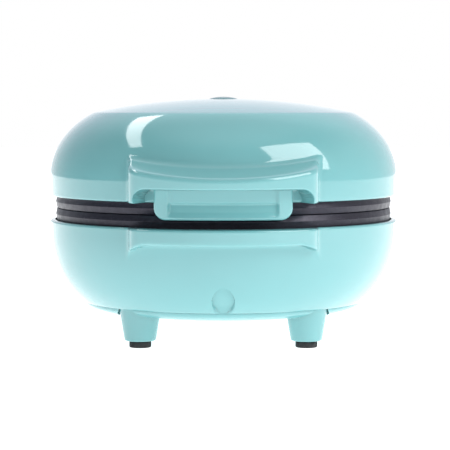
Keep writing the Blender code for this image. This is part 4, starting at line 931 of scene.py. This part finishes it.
def make_hinge_pin():
    low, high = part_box("hinge_pin")
    radius, head = 0.0015, 0.0026
    seat = high.x - 0.0012
    profile = [(0, low.x), (radius - 0.0003, low.x), (radius, low.x + 0.0003), (radius, seat), (head, seat)]
    profile += arc((head - 0.0005, high.x - 0.0005), (0.0005, 0.0005), 0, 90, 4) + [(0, high.x)]
    place(turned_along_x("hinge_rod", profile, 48, STEEL), "base", "plated_steel", "hinge_pin")


def make_gland():
    """The cord's bush, ribbed round its flange, with an open bore."""
    low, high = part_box("cord_gland")
    middle = (low.z + high.z) / 2
    flange, barrel, bore = 0.0070, 0.0048, 0.0032
    seat = high.y - 0.0020
    profile = [(bore, low.y), (barrel, low.y), (barrel, seat), (flange, seat)]
    profile += arc((flange - 0.0006, high.y - 0.0006), (0.0006, 0.0006), 0, 90, 5)
    profile += [(0.0052, high.y), (0.0050, high.y - 0.0003), (0.0046, high.y - 0.0003), (0.0044, high.y)]
    profile += arc((bore + 0.0005, high.y - 0.0005), (-0.0005, 0.0005), 90, 0, 4)
    turn = Matrix.Translation((0, 0, middle)) @ Matrix.Rotation(-math.pi / 2, 4, "X")
    gland = object_from("cord_bush", [shape_of(moved(lathe(profile, 72), turn))], RUBBER)
    place(gland, "base", "black_rubber", "cord_gland")


def make_lens():
    """The indicator's lens: a low dome with a rounded edge on a stem."""
    low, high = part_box("indicator_lens")
    radius = high.x
    seat = CROWN_Z - 0.0012 + GAP
    dome = arc((0, CROWN_Z - 0.0007), (radius, high.z - CROWN_Z + 0.0007), 6, 90, 24)
    profile = [(0, low.z), (0.0040, low.z), (0.0040, seat), (radius, seat), *dome]
    profile[-1] = (0, high.z)
    lens = object_from("lamp_window", [shape_of(lathe(profile, 72))], LENS)
    place(lens, "lid", "lamp_lens", "indicator_lens")


def finish_inner_nodes():
    """Better materials on the CAD nodes that stay, all inside the shells."""
    by_prefix = {"lower_heater_lead": SLEEVE, "upper_heater_lead": SLEEVE, "lamp_lead": SLEEVE,
                 "lower_heater": SHEATH, "upper_heater": SHEATH,
                 "lower_reflector_screw": STEEL, "upper_reflector_screw": STEEL,
                 "lower_reflector": ALUMINIUM, "upper_reflector": ALUMINIUM, "thermal_fuse": ALUMINIUM,
                 "guard_screw": STEEL, "indicator_lamp": GLASS, "thermostat": NYLON, "terminal_block": NYLON,
                 "lamp_holder": NYLON, "gland_nut": NYLON}
    for name, node in frame["nodes"].items():
        for prefix, material in by_prefix.items():
            if name.startswith(prefix):
                for slot in node.material_slots:
                    slot.material = material
                break


# ---- stage, light and camera ---------------------------------------------------------------------
def make_stage():
    """A pale floor that glows like a lit table, so that it throws almost no shadow."""
    finish = Finish("floor", (0.8, 0.8, 0.8), 0.7)
    finish.set(Emission_Strength=FLOOR_GLOW)
    finish.shader.inputs["Emission Color"].default_value = (*FLOOR_TINT, 1)
    finish.colour(finish.noise(6, 2), [(0.3, (0.79, 0.79, 0.79)), (0.7, (0.81, 0.81, 0.81))])
    corners = [(-3, -3, 0), (3, -3, 0), (3, 3, 0), (-3, 3, 0)]
    mesh = bpy.data.meshes.new("floor")
    mesh.from_pydata(corners, [], [(0, 1, 2, 3)])
    mesh.materials.append(finish.material)
    floor = bpy.data.objects.new("floor", mesh)
    bpy.context.scene.collection.objects.link(floor)


def softbox(name, middle, across, up, size, radiance):
    """A rectangular light at middle, with its sides along two directions, that faces the object."""
    light = bpy.data.lights.new(name, "AREA")
    light.shape = "RECTANGLE"
    light.size, light.size_y = size
    light.energy = radiance * size[0] * size[1] * math.pi
    lamp = bpy.data.objects.new(name, light)
    side = Vector(across).normalized()
    normal = side.cross(Vector(up)).normalized()
    top = normal.cross(side)
    frame_matrix = Matrix((side, top, normal)).transposed().to_4x4()
    lamp.matrix_world = Matrix.Translation(middle) @ frame_matrix
    bpy.context.scene.collection.objects.link(lamp)


def make_world():
    """A studio seen only in reflections: brightness by compass side and height, white to the camera."""
    world = bpy.data.worlds.new("studio")
    world.use_nodes = True
    nodes, links = world.node_tree.nodes, world.node_tree.links
    background = nodes["Background"]
    direction = nodes.new("ShaderNodeTexCoord").outputs["Generated"]
    split = nodes.new("ShaderNodeSeparateXYZ")
    links.new(direction, split.inputs[0])

    def maths(operation, *values):
        node = nodes.new("ShaderNodeMath")
        node.operation = operation
        for socket, value in zip(node.inputs, values):
            if isinstance(value, (int, float)):
                socket.default_value = value
            else:
                links.new(value, socket)
        return node.outputs[0]

    x, y, z = split.outputs
    level = maths("MAXIMUM", maths("ADD", maths("MULTIPLY", x, x), maths("MULTIPLY", y, y)), 1e-4)
    total = None
    for side, axis, sign in (("front", y, -1), ("back", y, 1), ("left", x, -1), ("right", x, 1)):
        toward = maths("MAXIMUM", maths("MULTIPLY", axis, sign), 0.0)
        weight = maths("DIVIDE", maths("MULTIPLY", toward, toward), level)
        ramp = nodes.new("ShaderNodeValToRGB")
        ramp.name = side
        ramp.color_ramp.interpolation = "EASE"
        elements = ramp.color_ramp.elements
        while len(elements) < len(STUDIO_HEIGHTS):
            elements.new(0.5)
        for element, height, colour in zip(elements, STUDIO_HEIGHTS, (*STUDIO[side], STUDIO_TOP)):
            element.position = height
            element.color = (*colour, 1)
        links.new(z, ramp.inputs["Fac"])
        scaled = nodes.new("ShaderNodeVectorMath")
        scaled.operation = "SCALE"
        links.new(ramp.outputs["Color"], scaled.inputs[0])
        links.new(weight, scaled.inputs["Scale"])
        if total is None:
            total = scaled.outputs[0]
            continue
        added = nodes.new("ShaderNodeVectorMath")
        added.operation = "ADD"
        links.new(total, added.inputs[0])
        links.new(scaled.outputs[0], added.inputs[1])
        total = added.outputs[0]
    seen = nodes.new("ShaderNodeMix")
    seen.data_type = "RGBA"
    links.new(nodes.new("ShaderNodeLightPath").outputs["Is Camera Ray"], seen.inputs["Factor"])
    links.new(total, seen.inputs["A"])
    seen.inputs["B"].default_value = (1, 1, 1, 1)
    links.new(seen.outputs["Result"], background.inputs["Color"])
    bpy.context.scene.world = world


def make_light():
    """The studio, a long strip overhead on the left and a window high on the right."""
    make_world()
    softbox("strip_light", STRIP_MIDDLE, *STRIP_SIDES, STRIP_SIZE, STRIP_RADIANCE)
    softbox("window_light", WINDOW_MIDDLE, *WINDOW_SIDES, WINDOW_SIZE, WINDOW_RADIANCE)


def make_camera():
    camera = bpy.data.cameras.new("camera")
    camera.sensor_width = 36
    camera.lens = 151.6
    seat = bpy.data.objects.new("camera", camera)
    seat.location = (0.0006, -0.715, 0.0881)
    seat.rotation_euler = (math.radians(90 - 3.68), 0, 0)
    bpy.context.scene.collection.objects.link(seat)
    bpy.context.scene.camera = seat
    bpy.context.scene.view_settings.view_transform = "Standard"


make_camera()
make_casings()
make_finger_tab()
make_plate("baking_plate_lower", "lower_plate", "base", -1)
make_plate("baking_plate_upper", "upper_plate", "lid", 1)
make_cover()
make_screws()
make_rubber_feet()
make_hinge_pin()
make_gland()
make_lens()
finish_inner_nodes()
make_stage()
make_light()
